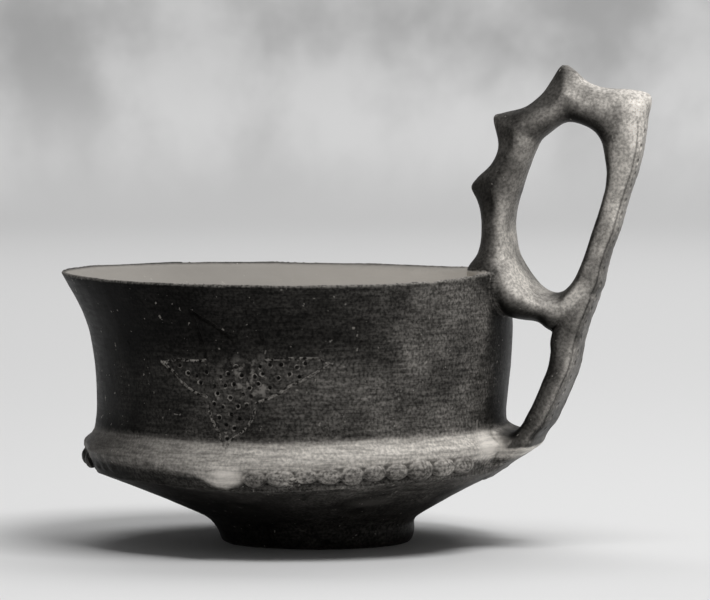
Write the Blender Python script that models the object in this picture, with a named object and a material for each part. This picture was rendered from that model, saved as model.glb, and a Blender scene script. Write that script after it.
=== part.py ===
"""High-handled cup of dark burnished clay, fired in one piece.

Metres, +Z up. The origin is the centre of the foot's flat underside, and the
handle stands over the rim on the +X side.
"""
import math

import bmesh
import bpy
from mathutils import Vector

MM = 0.001

# Foot and underside
FOOT_RADIUS = 30.4 * MM
FOOT_FLARE = 2.0 * MM
FOOT_HEIGHT = 6.2 * MM
FOOT_EDGE = 0.5 * MM
NECK_RADIUS = 35.0 * MM
NECK_RISE = 2.6 * MM
UNDERSIDE_SAG = 1.1 * MM

# Beaded ridge, shoulder and wall
RIDGE_RADIUS = 67.0 * MM
RIDGE_HEIGHT = 26.6 * MM
BEAD_HEIGHT = 7.2 * MM
BEAD_DEPTH = 1.9 * MM
BEAD_COUNT = 56
BEAD_NOTCH = 0.35
BEAD_FILL_AT_KNOB = 0.7
BEAD_CROWDING = 0.16
BEAD_CROWDED_SIDE = math.radians(205)
RIDGE_RISE_AT_HANDLE = 1.3 * MM
RIDGE_DIP = 2.2 * MM
RIDGE_DIP_DIRECTION = math.radians(-90)
RIDGE_DIP_SPREAD = math.radians(30)
SHOULDER_LEDGE = 2.8 * MM
SHOULDER_TOP = 37.5 * MM
WAIST_RADIUS = 65.7 * MM
WAIST_HEIGHT = 43.0 * MM
WALL_FLARE = 1.9 * MM
WALL_FLARE_HEIGHT = 66.0 * MM
UPPER_WALL_BEND = (0.55, 0.42)
RIM_RADIUS = 72.2 * MM
RIM_HEIGHT = 85.2 * MM
RIM_LIFT_AT_HANDLE = 2.6 * MM
RIM_LIFT_OPPOSITE = 1.2 * MM
HANDLE_LIFT_FOCUS = 14
OPPOSITE_LIFT_FOCUS = 3

# Clay thickness
WALL = 4.4 * MM
LIP = 1.7 * MM
FLOOR = 5.6 * MM
UNDERSIDE_CLAY = 1.1

# Levels of the inside, as shares of the height from the shoulder to the rim, and
# where the wall turns in to the underside: a share of the height from the ridge
# to the shoulder, and the clay's thickness there as a multiple of WALL. The floor's
# rings give a share of NECK_RISE over the floor and a share of NECK_RADIUS.
INNER_WALL_LEVELS = (0.97, 0.84, 0.66, 0.45, 0.22, 0.0)
INNER_TURN_LEVELS = ((0.62, 1.25), (0.33, 1.58), (0.15, 1.72))
INNER_FLOOR_LEVELS = (0.78, 0.50, 0.22)
INNER_FLOOR_CLAY = 0.15
FLOOR_RINGS = ((0.9, 0.78), (0.0, 0.42))

# The thrower's lean: how far each level's centre lies along X from the foot's
LEAN_NECK = -1.9 * MM
LEAN_WALL = -4.7 * MM
LEAN_RIM = -9.8 * MM

# Knobs on the ridge: the direction of each round the cup from the handle, and how
# far its middle lies over the ridge's, as a share of BEAD_HEIGHT
KNOBS = (
    (math.radians(-100), 0.08),
    (math.radians(180), 0.64),
    (math.radians(100), 0.08),
)
KNOB_WIDTH = 16.0 * MM
KNOB_SPREAD = 0.65
KNOB_DEPTH = 2.4 * MM
KNOB_TALL = 9.0 * MM
KNOB_TAPER = 0.6

# The shoulder's curve from the ledge over the beads up to its top: shares of the
# height, and of the ledge's reach that is left there
SHOULDER_CURVE = ((0.0, 1.0), (0.22, 0.88), (0.45, 0.55), (0.79, 0.10))

# Handle
HANDLE_REACH = 44.5 * MM
HANDLE_RISE = 67.4 * MM
HANDLE_WIDTH = 20.0 * MM
BRIDGE_DROP = 13.6 * MM
LOOP_SQUARENESS = 2.5
STRAP_SQUARENESS = 3.2
STRAP_FADE = (0.8, 0.4)

# Incised star
STAR_DIRECTION = math.radians(-94)
STAR_HEIGHT = 57.5 * MM
STAR_REACH = 28.0 * MM
GROOVE_WIDTH = 0.9 * MM
GROOVE_DEPTH = 0.45 * MM
SHOULDER_STEPS = 3
DOT_PITCH = 3.1 * MM
DOT_WIDTH = 1.2 * MM
DOT_DEPTH = 0.5 * MM
DOT_MARGIN = 1.3 * MM
DOT_ROW_GAP = 0.87
DOT_SWAY = 0.18

# Facets
COLUMNS_PER_BEAD = 4
HANDLE_SIDES = 14

# Sections of the upper loop, in order round its opening from the bridge. Each
# gives the opening's edge and the outer edge, as shares of the handle's reach
# out from the wall and of its rise over the rim, then its width as a share of
# HANDLE_WIDTH, and how far its outer edge is pinched to a horn.
LOOP_SECTIONS = (
    (0.355, -0.070, 0.225, -0.208, 1.30, 0.0),
    (0.285, -0.064, 0.125, -0.198, 1.45, 0.0),
    (0.215, -0.036, 0.030, -0.185, 1.65, 0.0),
    (0.155, 0.006, -0.050, -0.155, 1.80, 0.0),
    (0.105, 0.060, -0.180, -0.085, 1.75, 0.0),
    (0.070, 0.112, -0.290, 0.022, 1.50, 0.0),
    (0.052, 0.165, -0.210, 0.118, 1.22, 0.0),
    (0.042, 0.250, -0.188, 0.215, 1.08, 0.0),
    (0.052, 0.312, -0.200, 0.311, 1.00, 0.1),
    (0.070, 0.368, -0.228, 0.366, 0.98, 0.3),
    (0.094, 0.415, -0.272, 0.424, 0.95, 0.7),
    (0.116, 0.462, -0.225, 0.470, 0.92, 0.3),
    (0.145, 0.518, -0.130, 0.527, 0.90, 0.0),
    (0.172, 0.565, -0.078, 0.592, 0.88, 0.0),
    (0.200, 0.606, -0.076, 0.646, 0.86, 0.2),
    (0.232, 0.643, -0.110, 0.752, 0.86, 0.5),
    (0.272, 0.668, -0.040, 0.775, 0.86, 0.3),
    (0.326, 0.696, 0.125, 0.806, 0.84, 0.0),
    (0.376, 0.719, 0.248, 0.872, 0.82, 0.2),
    (0.410, 0.728, 0.313, 0.935, 0.82, 0.4),
    (0.442, 0.731, 0.383, 1.000, 0.82, 0.6),
    (0.478, 0.729, 0.460, 0.984, 0.82, 0.5),
    (0.522, 0.722, 0.562, 0.926, 0.82, 0.2),
    (0.570, 0.710, 0.690, 0.896, 0.84, 0.0),
    (0.615, 0.692, 0.870, 0.888, 0.84, 0.1),
    (0.652, 0.665, 1.020, 0.858, 0.80, 0.3),
    (0.680, 0.628, 1.003, 0.755, 0.74, 0.1),
    (0.703, 0.568, 0.965, 0.610, 0.68, 0.0),
    (0.714, 0.504, 0.925, 0.504, 0.66, 0.0),
    (0.706, 0.432, 0.888, 0.434, 0.66, 0.0),
    (0.682, 0.371, 0.856, 0.367, 0.66, 0.0),
    (0.650, 0.295, 0.824, 0.292, 0.68, 0.0),
    (0.616, 0.230, 0.796, 0.226, 0.72, 0.0),
    (0.578, 0.146, 0.744, 0.138, 0.78, 0.0),
    (0.534, 0.062, 0.706, 0.056, 0.84, 0.0),
    (0.485, -0.006, 0.640, -0.080, 0.92, 0.0),
    (0.425, -0.050, 0.365, -0.245, 1.15, 0.0),
)

# Sections of the lower strap from the loop down to the ridge: its height as a
# share of the way from the ridge to the bridge, the gap from the wall to its
# inner and outer faces as shares of the reach, and its width share. The inner
# face's height is given apart, where the strap turns under the body.
STRAP_SECTIONS = (
    (1.330, 1.330, 0.560, 0.640, 0.60),
    (1.215, 1.200, 0.505, 0.652, 0.84),
    (1.090, 1.085, 0.430, 0.612, 0.93),
    (0.975, 0.985, 0.350, 0.572, 0.98),
    (0.868, 0.872, 0.318, 0.535, 1.00),
    (0.782, 0.784, 0.326, 0.521, 1.08),
    (0.674, 0.678, 0.318, 0.505, 1.20),
    (0.582, 0.578, 0.292, 0.476, 1.35),
    (0.436, 0.440, 0.245, 0.428, 1.45),
    (0.363, 0.361, 0.215, 0.396, 1.50),
    (0.285, 0.260, 0.170, 0.338, 1.55),
    (0.228, 0.150, 0.105, 0.196, 1.60),
    (0.240, 0.050, 0.040, 0.092, 1.60),
    (0.290, -0.050, -0.025, -0.040, 1.60),
    (0.340, -0.130, -0.060, -0.160, 1.50),
)

# The star's strokes as polylines, across and up from its centre seen from
# outside, as shares of its reach. The dotted rays' strokes run round them in
# order, and the two plain rays stand above them.
DOTTED_RAYS = (
    ((-0.41, 0.15), (-0.70, 0.15), (-1.00, 0.12)),
    ((-1.00, 0.12), (-0.84, 0.02), (-0.72, -0.10), (-0.56, -0.20), (-0.41, -0.26)),
    ((-0.40, -0.34), (-0.35, -0.48), (-0.275, -0.635), (-0.17, -0.825)),
    ((-0.17, -0.825), (-0.10, -0.71), (0.035, -0.60), (0.125, -0.48), (0.16, -0.37)),
    ((0.17, -0.30), (0.385, -0.21), (0.55, -0.11), (0.76, 0.00), (1.00, 0.125)),
    ((1.00, 0.125), (0.835, 0.18), (0.63, 0.20), (0.425, 0.18), (0.25, 0.165)),
)
PLAIN_RAYS = (
    ((-0.445, 0.71), (-0.425, 0.47), (-0.41, 0.20)),
    ((-0.415, 0.69), (-0.205, 0.53), (-0.05, 0.37)),
    ((-0.05, 0.37), (0.12, 0.61), (0.22, 0.75)),
    ((0.25, 0.64), (0.275, 0.365), (0.29, 0.21)),
)


def mix(low, high, share):
    """The value a share of the way from low to high."""
    return low + (high - low) * share


def curve_value(stations, z):
    """A smooth value at height z through (height, value) stations."""
    if z <= stations[0][0]:
        return stations[0][1]
    if z >= stations[-1][0]:
        return stations[-1][1]
    for low in range(len(stations) - 1):
        if z <= stations[low + 1][0]:
            break
    z0, v0 = stations[low]
    z1, v1 = stations[low + 1]
    slopes = []
    for point in (low, low + 1):
        before = stations[max(point - 1, 0)]
        after = stations[min(point + 1, len(stations) - 1)]
        slopes.append((after[1] - before[1]) / (after[0] - before[0]))
    span = z1 - z0
    t = (z - z0) / span
    return (
        (2 * t ** 3 - 3 * t ** 2 + 1) * v0
        + (t ** 3 - 2 * t ** 2 + t) * span * slopes[0]
        + (3 * t ** 2 - 2 * t ** 3) * v1
        + (t ** 3 - t ** 2) * span * slopes[1]
    )


def bead_bottom():
    """Height of the beaded band's lower edge."""
    return RIDGE_HEIGHT - BEAD_HEIGHT / 2


def bead_top():
    """Height of the beaded band's upper edge."""
    return RIDGE_HEIGHT + BEAD_HEIGHT / 2


def lean(z):
    """How far the cup's centre at height z lies along X."""
    neck = FOOT_HEIGHT + NECK_RISE
    return curve_value(
        (
            (0.0, 0.0),
            (FOOT_HEIGHT / 2, 0.0),
            (neck, LEAN_NECK),
            (RIDGE_HEIGHT, LEAN_WALL),
            (WALL_FLARE_HEIGHT, LEAN_WALL),
            (RIM_HEIGHT, LEAN_RIM),
        ),
        z,
    )


def wall_radius(z):
    """Outer radius from the top of the beaded band to the rim."""
    neck = WAIST_RADIUS + 0.2 * WALL_FLARE
    stations = []
    for rise, reach in SHOULDER_CURVE:
        height = mix(bead_top(), SHOULDER_TOP, rise)
        stations.append((height, mix(neck, RIDGE_RADIUS + SHOULDER_LEDGE, reach)))
    stations.append((SHOULDER_TOP, neck))
    stations.append((WAIST_HEIGHT, WAIST_RADIUS))
    stations.append((WALL_FLARE_HEIGHT, WAIST_RADIUS + WALL_FLARE))
    rise, reach = UPPER_WALL_BEND
    bend = mix(WALL_FLARE_HEIGHT, RIM_HEIGHT, rise)
    stations.append((bend, mix(WAIST_RADIUS + WALL_FLARE, RIM_RADIUS, reach)))
    stations.append((RIM_HEIGHT, RIM_RADIUS))
    return curve_value(stations, z)


def underside_radius(z):
    """Outer radius from the neck over the foot to the beaded band."""
    neck = FOOT_HEIGHT + NECK_RISE
    share = (z - neck) / (bead_bottom() - neck)
    sag = 4 * share * (1 - share) * UNDERSIDE_SAG
    return mix(NECK_RADIUS, RIDGE_RADIUS, share) - sag


def outer_radius(z):
    """Outer radius of the plain cup at height z."""
    if z >= bead_top():
        return wall_radius(z)
    if z >= bead_bottom():
        share = (z - bead_bottom()) / BEAD_HEIGHT
        return mix(RIDGE_RADIUS, wall_radius(bead_top()), share)
    if z >= FOOT_HEIGHT + NECK_RISE:
        return underside_radius(z)
    if z >= FOOT_HEIGHT:
        share = (z - FOOT_HEIGHT) / NECK_RISE
        return mix(FOOT_RADIUS + FOOT_FLARE, NECK_RADIUS, share ** 1.6)
    return mix(FOOT_RADIUS, FOOT_RADIUS + FOOT_FLARE, z / FOOT_HEIGHT)


def ridge_shift(angle, z):
    """How far the ridge, set by hand, rides up or down at a direction."""
    rise = (z - FOOT_HEIGHT - NECK_RISE) / (bead_bottom() - FOOT_HEIGHT - NECK_RISE)
    fall = (WAIST_HEIGHT - z) / (WAIST_HEIGHT - bead_top())
    fade = max(0.0, min(1.0, rise, fall))
    away = math.remainder(angle - RIDGE_DIP_DIRECTION, 2 * math.pi) / RIDGE_DIP_SPREAD
    toward = RIDGE_RISE_AT_HANDLE * (0.5 + 0.5 * math.cos(angle))
    return fade * (toward - RIDGE_DIP * math.exp(-away * away))


def handle_wall_x(z):
    """Where the outer wall stands on the handle's side at height z."""
    return lean(z) + outer_radius(z - ridge_shift(0.0, z))


def column_angles():
    """Directions of the fine columns, closer together where beads crowd."""
    count = BEAD_COUNT * COLUMNS_PER_BEAD
    angles = []
    for column in range(count):
        even = 2 * math.pi * column / count
        angles.append(even + BEAD_CROWDING * math.sin(even - BEAD_CROWDED_SIDE + math.pi))
    return angles


def rim_lift(angle, z):
    """How far the hand-drawn rim rises at a direction, fading down the wall."""
    fade = max(0.0, (z - WALL_FLARE_HEIGHT) / (RIM_HEIGHT - WALL_FLARE_HEIGHT))
    toward = (0.5 + 0.5 * math.cos(angle)) ** HANDLE_LIFT_FOCUS
    away = (0.5 - 0.5 * math.cos(angle)) ** OPPOSITE_LIFT_FOCUS
    return fade * (RIM_LIFT_AT_HANDLE * toward + RIM_LIFT_OPPOSITE * away)


def nearest_knob(angle):
    """How much of a knob stands at a direction, from 1 to 0, and its height."""
    best, height = 0.0, RIDGE_HEIGHT
    for direction, rise in KNOBS:
        turn = math.remainder(angle - direction, 2 * math.pi)
        across = min(1.0, abs(turn) * RIDGE_RADIUS / (KNOB_SPREAD * KNOB_WIDTH))
        share = 0.5 + 0.5 * math.cos(math.pi * across)
        if share > best:
            best, height = share, RIDGE_HEIGHT + rise * BEAD_HEIGHT
    return best, height


def strap_clear(angle):
    """0 under the strap, where the ridge is smoothed away, and 1 beyond it."""
    half = HANDLE_WIDTH * STRAP_SECTIONS[-1][-1] / 2 / RIDGE_RADIUS
    away = abs(math.remainder(angle, 2 * math.pi)) / half
    start, length = STRAP_FADE
    return min(1.0, max(0.0, (away - start) / length))


def ridge_swell(column, angle, z):
    """How far beads and knobs stand out at a column and height."""
    phase = (column % COLUMNS_PER_BEAD) / COLUMNS_PER_BEAD
    across = math.sin(math.pi * phase) if phase else 0.0
    height = (z - RIDGE_HEIGHT) / (BEAD_HEIGHT / 2)
    bead = math.sqrt(max(0.0, 1 - height * height)) * mix(BEAD_NOTCH, 1.0, across) * BEAD_DEPTH
    bead *= strap_clear(angle)
    share, knob_height = nearest_knob(angle)
    knob_level = min(1.0, abs(z - knob_height) / (KNOB_TAPER * KNOB_TALL))
    knob = (0.5 + 0.5 * math.cos(math.pi * knob_level)) * KNOB_DEPTH
    filled = BEAD_FILL_AT_KNOB * BEAD_DEPTH if bead > 0 else 0.0
    return mix(bead, max(bead, filled), share) + knob * share


def outer_ring(z, angles, fine):
    """One level of the outer face, with the rim's lift and the ridge's beads."""
    points = []
    step = 1 if fine else COLUMNS_PER_BEAD
    for column in range(0, len(angles), step):
        angle = angles[column]
        radius = outer_radius(z)
        if fine:
            radius += ridge_swell(column, angle, z)
        x = lean(z) + radius * math.cos(angle)
        height = z + rim_lift(angle, z) + ridge_shift(angle, z)
        points.append(Vector((x, radius * math.sin(angle), height)))
    return points


def plain_ring(z, radius, angles):
    """One round level of the inside, the lip's crown or the foot's underside."""
    points = []
    for angle in angles[::COLUMNS_PER_BEAD]:
        x = lean(z) + radius * math.cos(angle)
        points.append(Vector((x, radius * math.sin(angle), z + rim_lift(angle, z))))
    return points


def inner_levels():
    """(height, radius) levels of the inside, from the lip down to the floor."""
    levels = []
    slant = UNDERSIDE_CLAY * FLOOR
    floor = FOOT_HEIGHT + FLOOR
    for share in INNER_WALL_LEVELS:
        z = mix(SHOULDER_TOP, RIM_HEIGHT, share)
        wall = mix(WALL, LIP, max(0.0, 4 * share - 3))
        levels.append((z, outer_radius(z) - wall))
    for share, walls in INNER_TURN_LEVELS:
        z = mix(RIDGE_HEIGHT, SHOULDER_TOP, share)
        levels.append((z, outer_radius(z) - walls * WALL))
    for share in INNER_FLOOR_LEVELS:
        z = mix(FOOT_HEIGHT + NECK_RISE, bead_bottom(), share)
        levels.append((z + slant, underside_radius(z) - INNER_FLOOR_CLAY * WALL))
    for rise, reach in FLOOR_RINGS:
        levels.append((floor + rise * NECK_RISE, reach * NECK_RADIUS))
    return levels


def outer_levels():
    """(height, fine) levels of the outer face, from the foot up to the rim."""
    neck = FOOT_HEIGHT + NECK_RISE
    levels = [(FOOT_EDGE, False), (FOOT_HEIGHT, False)]
    levels.append((mix(FOOT_HEIGHT, neck, 0.5), False))
    for share in (0.0, 0.3, 0.62, 0.88):
        levels.append((mix(neck, bead_bottom(), share), False))
    for share in (0.0, 0.18, 0.5, 0.82, 1.0):
        levels.append((mix(bead_bottom(), bead_top(), share), True))
    levels.append((mix(bead_top(), SHOULDER_TOP, SHOULDER_CURVE[1][0]), True))
    for rise in (0.45, 0.75, 1.0):
        levels.append((mix(bead_top(), SHOULDER_TOP, rise), False))
    for share in (0.0, 0.35, 0.7):
        levels.append((mix(WAIST_HEIGHT, WALL_FLARE_HEIGHT, share), False))
    for share in (0.0, 0.3, 0.55, 0.75, 0.9, 1.0):
        levels.append((mix(WALL_FLARE_HEIGHT, RIM_HEIGHT, share), False))
    return levels


def bridge(mesh, low, high):
    """Faces between two rings, which may differ in their number of points."""
    few, many = (low, high) if len(low) <= len(high) else (high, low)
    ratio = len(many) // len(few)
    flip = few is high
    for index in range(len(few)):
        following = (index + 1) % len(few)
        start = index * ratio
        if ratio == 1:
            face = [few[index], few[following], many[(start + 1) % len(many)], many[start]]
            mesh.faces.new(face[::-1] if flip else face)
            continue
        half = ratio // 2
        for step in range(ratio):
            apex = few[index] if step < half else few[following]
            face = [apex, many[(start + step + 1) % len(many)], many[start + step]]
            mesh.faces.new(face[::-1] if flip else face)
        middle = [few[index], few[following], many[start + half]]
        mesh.faces.new(middle[::-1] if flip else middle)


def make_cup():
    """The bowl and its foot, as one closed shell of revolution, hand-drawn."""
    angles = column_angles()
    mesh = bmesh.new()
    rings = []
    base = plain_ring(0.0, FOOT_RADIUS - FOOT_EDGE, angles)
    rings.append([mesh.verts.new(point) for point in base])
    for z, fine in outer_levels():
        rings.append([mesh.verts.new(point) for point in outer_ring(z, angles, fine)])
    crown = plain_ring(RIM_HEIGHT, RIM_RADIUS - LIP / 2, angles)
    rings.append([mesh.verts.new(point + Vector((0, 0, LIP / 3))) for point in crown])
    for z, radius in inner_levels():
        rings.append([mesh.verts.new(point) for point in plain_ring(z, radius, angles)])
    for low, high in zip(rings, rings[1:]):
        bridge(mesh, low, high)
    mesh.faces.new(rings[0][::-1])
    mesh.faces.new(rings[-1])
    return finish_mesh(mesh, "handled_cup")


def finish_mesh(mesh, name):
    """Turn a bmesh into an object with its normals pointing out."""
    bmesh.ops.triangulate(mesh, faces=mesh.faces[:])
    bmesh.ops.recalc_face_normals(mesh, faces=mesh.faces[:])
    data = bpy.data.meshes.new(name)
    mesh.to_mesh(data)
    mesh.free()
    piece = bpy.data.objects.new(name, data)
    bpy.context.scene.collection.objects.link(piece)
    return piece


def section(inner, outer, width, pinch, squareness):
    """A rounded section across the handle's plane, from inner to outer edge."""
    centre = (inner + outer) / 2
    reach = (outer - inner) / 2
    points = []
    for side in range(HANDLE_SIDES):
        turn = 2 * math.pi * side / HANDLE_SIDES
        along = math.copysign(abs(math.cos(turn)) ** (2 / squareness), math.cos(turn))
        across = math.copysign(abs(math.sin(turn)) ** (2 / squareness), math.sin(turn))
        narrow = 1 - pinch * max(0.0, along)
        points.append(centre + reach * along + Vector((0, across * narrow * width / 2, 0)))
    return points


def loft(name, sections, closed):
    """A solid through a run of sections, closed in a loop or capped."""
    mesh = bmesh.new()
    rings = [[mesh.verts.new(point) for point in points] for points in sections]
    pairs = list(zip(rings, rings[1:]))
    if closed:
        pairs.append((rings[-1], rings[0]))
    for low, high in pairs:
        bridge(mesh, low, high)
    if not closed:
        mesh.faces.new(rings[0][::-1])
        mesh.faces.new(rings[-1])
    return finish_mesh(mesh, name)


def make_loop():
    """The upper loop with its horns, standing in the lip at its root."""
    anchor_x = handle_wall_x(RIM_HEIGHT - BRIDGE_DROP)
    sections = []
    for hole_x, hole_z, out_x, out_z, wide, pinch in LOOP_SECTIONS:
        inner = Vector((anchor_x + hole_x * HANDLE_REACH, 0, RIM_HEIGHT + hole_z * HANDLE_RISE))
        outer = Vector((anchor_x + out_x * HANDLE_REACH, 0, RIM_HEIGHT + out_z * HANDLE_RISE))
        sections.append(section(inner, outer, wide * HANDLE_WIDTH, pinch, LOOP_SQUARENESS))
    return loft("upper_loop", sections, True)


def make_strap():
    """The lower strap, from the loop down onto the ridge."""
    low = RIDGE_HEIGHT
    high = RIM_HEIGHT - BRIDGE_DROP
    sections = []
    for inner_level, outer_level, inner_gap, outer_gap, wide in STRAP_SECTIONS:
        inner_z = mix(low, high, inner_level)
        outer_z = mix(low, high, outer_level)
        anchor = handle_wall_x(min(inner_z, high))
        inner = Vector((anchor + inner_gap * HANDLE_REACH, 0, inner_z))
        anchor = handle_wall_x(min(max(outer_z, low), high))
        outer = Vector((anchor + outer_gap * HANDLE_REACH, 0, outer_z))
        sections.append(section(inner, outer, wide * HANDLE_WIDTH, 0.0, STRAP_SQUARENESS))
    return loft("lower_strap", sections, False)


def combine(piece, other, operation):
    """Apply an exact Boolean with another object, then remove that one."""
    other.hide_render = True
    other.display_type = "WIRE"
    step = piece.modifiers.new(operation.lower(), "BOOLEAN")
    step.operation = operation
    step.solver = "EXACT"
    step.object = other
    graph = bpy.context.evaluated_depsgraph_get()
    result = bpy.data.meshes.new_from_object(piece.evaluated_get(graph))
    old = piece.data
    piece.modifiers.remove(step)
    piece.data = result
    result.name = piece.name
    bpy.data.meshes.remove(old)
    bpy.data.objects.remove(other)


def on_wall(across, up, depth):
    """A point of the star on the wall, sunk by a depth below the surface."""
    z = STAR_HEIGHT + up * STAR_REACH
    angle = STAR_DIRECTION + across * STAR_REACH / WAIST_RADIUS
    radius = outer_radius(z - ridge_shift(angle, z)) - depth
    return Vector((lean(z) + radius * math.cos(angle), radius * math.sin(angle), z))


def follow_shoulder(stroke):
    """The stroke with more points where it runs down onto the curved shoulder."""
    points = [stroke[0]]
    for start, end in zip(stroke, stroke[1:]):
        lowest = STAR_HEIGHT + min(start[1], end[1]) * STAR_REACH
        steps = SHOULDER_STEPS if lowest < WAIST_HEIGHT else 1
        for step in range(1, steps + 1):
            share = step / steps
            points.append((mix(start[0], end[0], share), mix(start[1], end[1], share)))
    return points


def groove_cutter(stroke):
    """A prism of triangular section along one stroke, standing proud of the wall."""
    clear = 0.6 * GROOVE_WIDTH
    spread = GROOVE_WIDTH / STAR_REACH * (1 + clear / GROOVE_DEPTH) / 2
    sections = []
    for index, (across, up) in enumerate(stroke):
        before = stroke[max(index - 1, 0)]
        after = stroke[min(index + 1, len(stroke) - 1)]
        run = Vector((after[0] - before[0], after[1] - before[1])).normalized()
        if index == len(stroke) - 1:
            across, up = across + run.x * spread / 2, up + run.y * spread / 2
        if index == 0:
            across, up = across - run.x * spread / 2, up - run.y * spread / 2
        beside = Vector((-run.y, run.x)) * spread
        sections.append([
            on_wall(across, up, GROOVE_DEPTH),
            on_wall(across + beside.x, up + beside.y, -clear),
            on_wall(across - beside.x, up - beside.y, -clear),
        ])
    return loft("groove", sections, False)


def edge_distance(point, start, end):
    """Distance from a point to a straight edge, in the star's own shares."""
    run = end - start
    share = min(1.0, max(0.0, (point - start).dot(run) / run.length_squared))
    return (point - start - run * share).length


def star_dots():
    """Punched dots in staggered rows over the dotted rays, clear of the strokes."""
    outline = []
    for stroke in DOTTED_RAYS:
        outline.extend(Vector(point) for point in stroke)
    edges = [(a, b) for a, b in zip(outline, outline[1:] + outline[:1]) if (a - b).length > 0]
    pitch = DOT_PITCH / STAR_REACH
    rows = int(2 / pitch)
    dots = []
    for row in range(-rows, rows + 1):
        for column in range(-rows, rows + 1):
            shift = 0.5 * (row % 2) + DOT_SWAY * math.sin(5.1 * row + 2.3 * column)
            sway = DOT_SWAY * math.sin(3.7 * column + 1.9 * row)
            dot = Vector(((column + shift) * pitch, (DOT_ROW_GAP * row + sway) * pitch))
            crossings = sum(
                (a.y > dot.y) != (b.y > dot.y)
                and dot.x < a.x + (dot.y - a.y) * (b.x - a.x) / (b.y - a.y)
                for a, b in edges
            )
            clear = min(edge_distance(dot, a, b) for a, b in edges)
            if crossings % 2 and clear > DOT_MARGIN / STAR_REACH:
                dots.append(dot)
    return dots


def dot_cutter():
    """All the punched dots as small pyramids, points inward."""
    mesh = bmesh.new()
    clear = 0.5 * DOT_WIDTH
    half = DOT_WIDTH / STAR_REACH / 2 * (1 + clear / DOT_DEPTH)
    for dot in star_dots():
        tip = mesh.verts.new(on_wall(dot.x, dot.y, DOT_DEPTH))
        corners = []
        for side_x, side_y in ((-1, 0), (0, -1), (1, 0), (0, 1)):
            place = on_wall(dot.x + side_x * half, dot.y + side_y * half, -clear)
            corners.append(mesh.verts.new(place))
        for first, second in zip(corners, corners[1:] + corners[:1]):
            mesh.faces.new((first, second, tip))
        mesh.faces.new(corners[::-1])
    return finish_mesh(mesh, "dots")


def clay_material():
    """Dark burnished clay."""
    material = bpy.data.materials.new("burnished_clay")
    material.use_nodes = True
    shader = material.node_tree.nodes["Principled BSDF"]
    shader.inputs["Base Color"].default_value = (0.045, 0.036, 0.030, 1.0)
    shader.inputs["Roughness"].default_value = 0.42
    shader.inputs["Metallic"].default_value = 0.0
    return material


def main():
    for thing in list(bpy.data.objects):
        bpy.data.objects.remove(thing)
    cup = make_cup()
    combine(cup, make_strap(), "UNION")
    combine(cup, make_loop(), "UNION")
    for stroke in DOTTED_RAYS + PLAIN_RAYS:
        combine(cup, groove_cutter(follow_shoulder(stroke)), "DIFFERENCE")
    combine(cup, dot_cutter(), "DIFFERENCE")
    cup.data.materials.clear()
    cup.data.materials.append(clay_material())
    cup.data.shade_smooth()
    cup.data.set_sharp_from_angle(angle=math.radians(50))


main()
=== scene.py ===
"""A high-handled cup of dark burnished clay on a pale table.

The clay is built as its potter built it: the bowl is turned, the handle is drawn
out and luted on, the beads are set along the ridge, and the star and the handle's
marks are cut into the surface. Metres, +Z up, the origin under the foot.
"""
import math

import bmesh
import bpy
import numpy as np
from mathutils import Matrix, Vector


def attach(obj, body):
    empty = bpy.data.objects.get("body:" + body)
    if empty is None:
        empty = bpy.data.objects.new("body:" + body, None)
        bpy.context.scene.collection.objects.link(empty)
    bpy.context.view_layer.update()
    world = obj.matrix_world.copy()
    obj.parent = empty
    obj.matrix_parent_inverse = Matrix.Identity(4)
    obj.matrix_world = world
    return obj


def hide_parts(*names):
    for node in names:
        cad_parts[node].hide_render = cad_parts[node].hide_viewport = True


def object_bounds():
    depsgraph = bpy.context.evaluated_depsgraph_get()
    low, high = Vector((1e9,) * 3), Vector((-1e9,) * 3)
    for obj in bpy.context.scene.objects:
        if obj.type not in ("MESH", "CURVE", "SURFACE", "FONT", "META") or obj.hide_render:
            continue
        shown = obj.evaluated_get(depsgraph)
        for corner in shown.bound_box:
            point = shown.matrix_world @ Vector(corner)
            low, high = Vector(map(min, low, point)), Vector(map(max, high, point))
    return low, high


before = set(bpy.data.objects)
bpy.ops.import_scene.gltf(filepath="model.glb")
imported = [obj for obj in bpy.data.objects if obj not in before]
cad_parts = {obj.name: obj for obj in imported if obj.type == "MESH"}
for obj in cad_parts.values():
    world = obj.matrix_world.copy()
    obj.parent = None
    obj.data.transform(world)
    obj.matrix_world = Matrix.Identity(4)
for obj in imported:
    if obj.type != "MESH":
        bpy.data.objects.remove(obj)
cad_box = [list(corner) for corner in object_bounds()]

MM = 0.001

# Foot and underside
FOOT_RADIUS = 30.4 * MM
FOOT_FLARE = 2.0 * MM
FOOT_HEIGHT = 6.2 * MM
FOOT_EDGE = 0.5 * MM
NECK_RADIUS = 35.0 * MM
NECK_RISE = 2.6 * MM
NECK_CURVE = 1.6
UNDERSIDE_SAG = 1.1 * MM

# Beaded ridge, shoulder and wall
RIDGE_RADIUS = 67.0 * MM
RIDGE_HEIGHT = 26.6 * MM
BEAD_HEIGHT = 7.2 * MM
BEAD_DEPTH = 1.9 * MM
RIDGE_RISE_AT_HANDLE = 1.3 * MM
RIDGE_DIP = 2.2 * MM
RIDGE_DIP_DIRECTION = math.radians(-90)
RIDGE_DIP_SPREAD = math.radians(30)
SHOULDER_LEDGE = 2.8 * MM
SHOULDER_TOP = 37.5 * MM
WAIST_RADIUS = 65.7 * MM
WAIST_HEIGHT = 43.0 * MM
WALL_FLARE = 1.9 * MM
WALL_FLARE_HEIGHT = 66.0 * MM
FLARE_MIDDLE = (0.55, 0.42)
RIM_RADIUS = 72.2 * MM
RIM_HEIGHT = 85.2 * MM
RIM_LIFT_AT_HANDLE = 2.6 * MM
RIM_LIFT_OPPOSITE = 1.2 * MM
HANDLE_LIFT_FOCUS = 14
OPPOSITE_LIFT_FOCUS = 3

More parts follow.
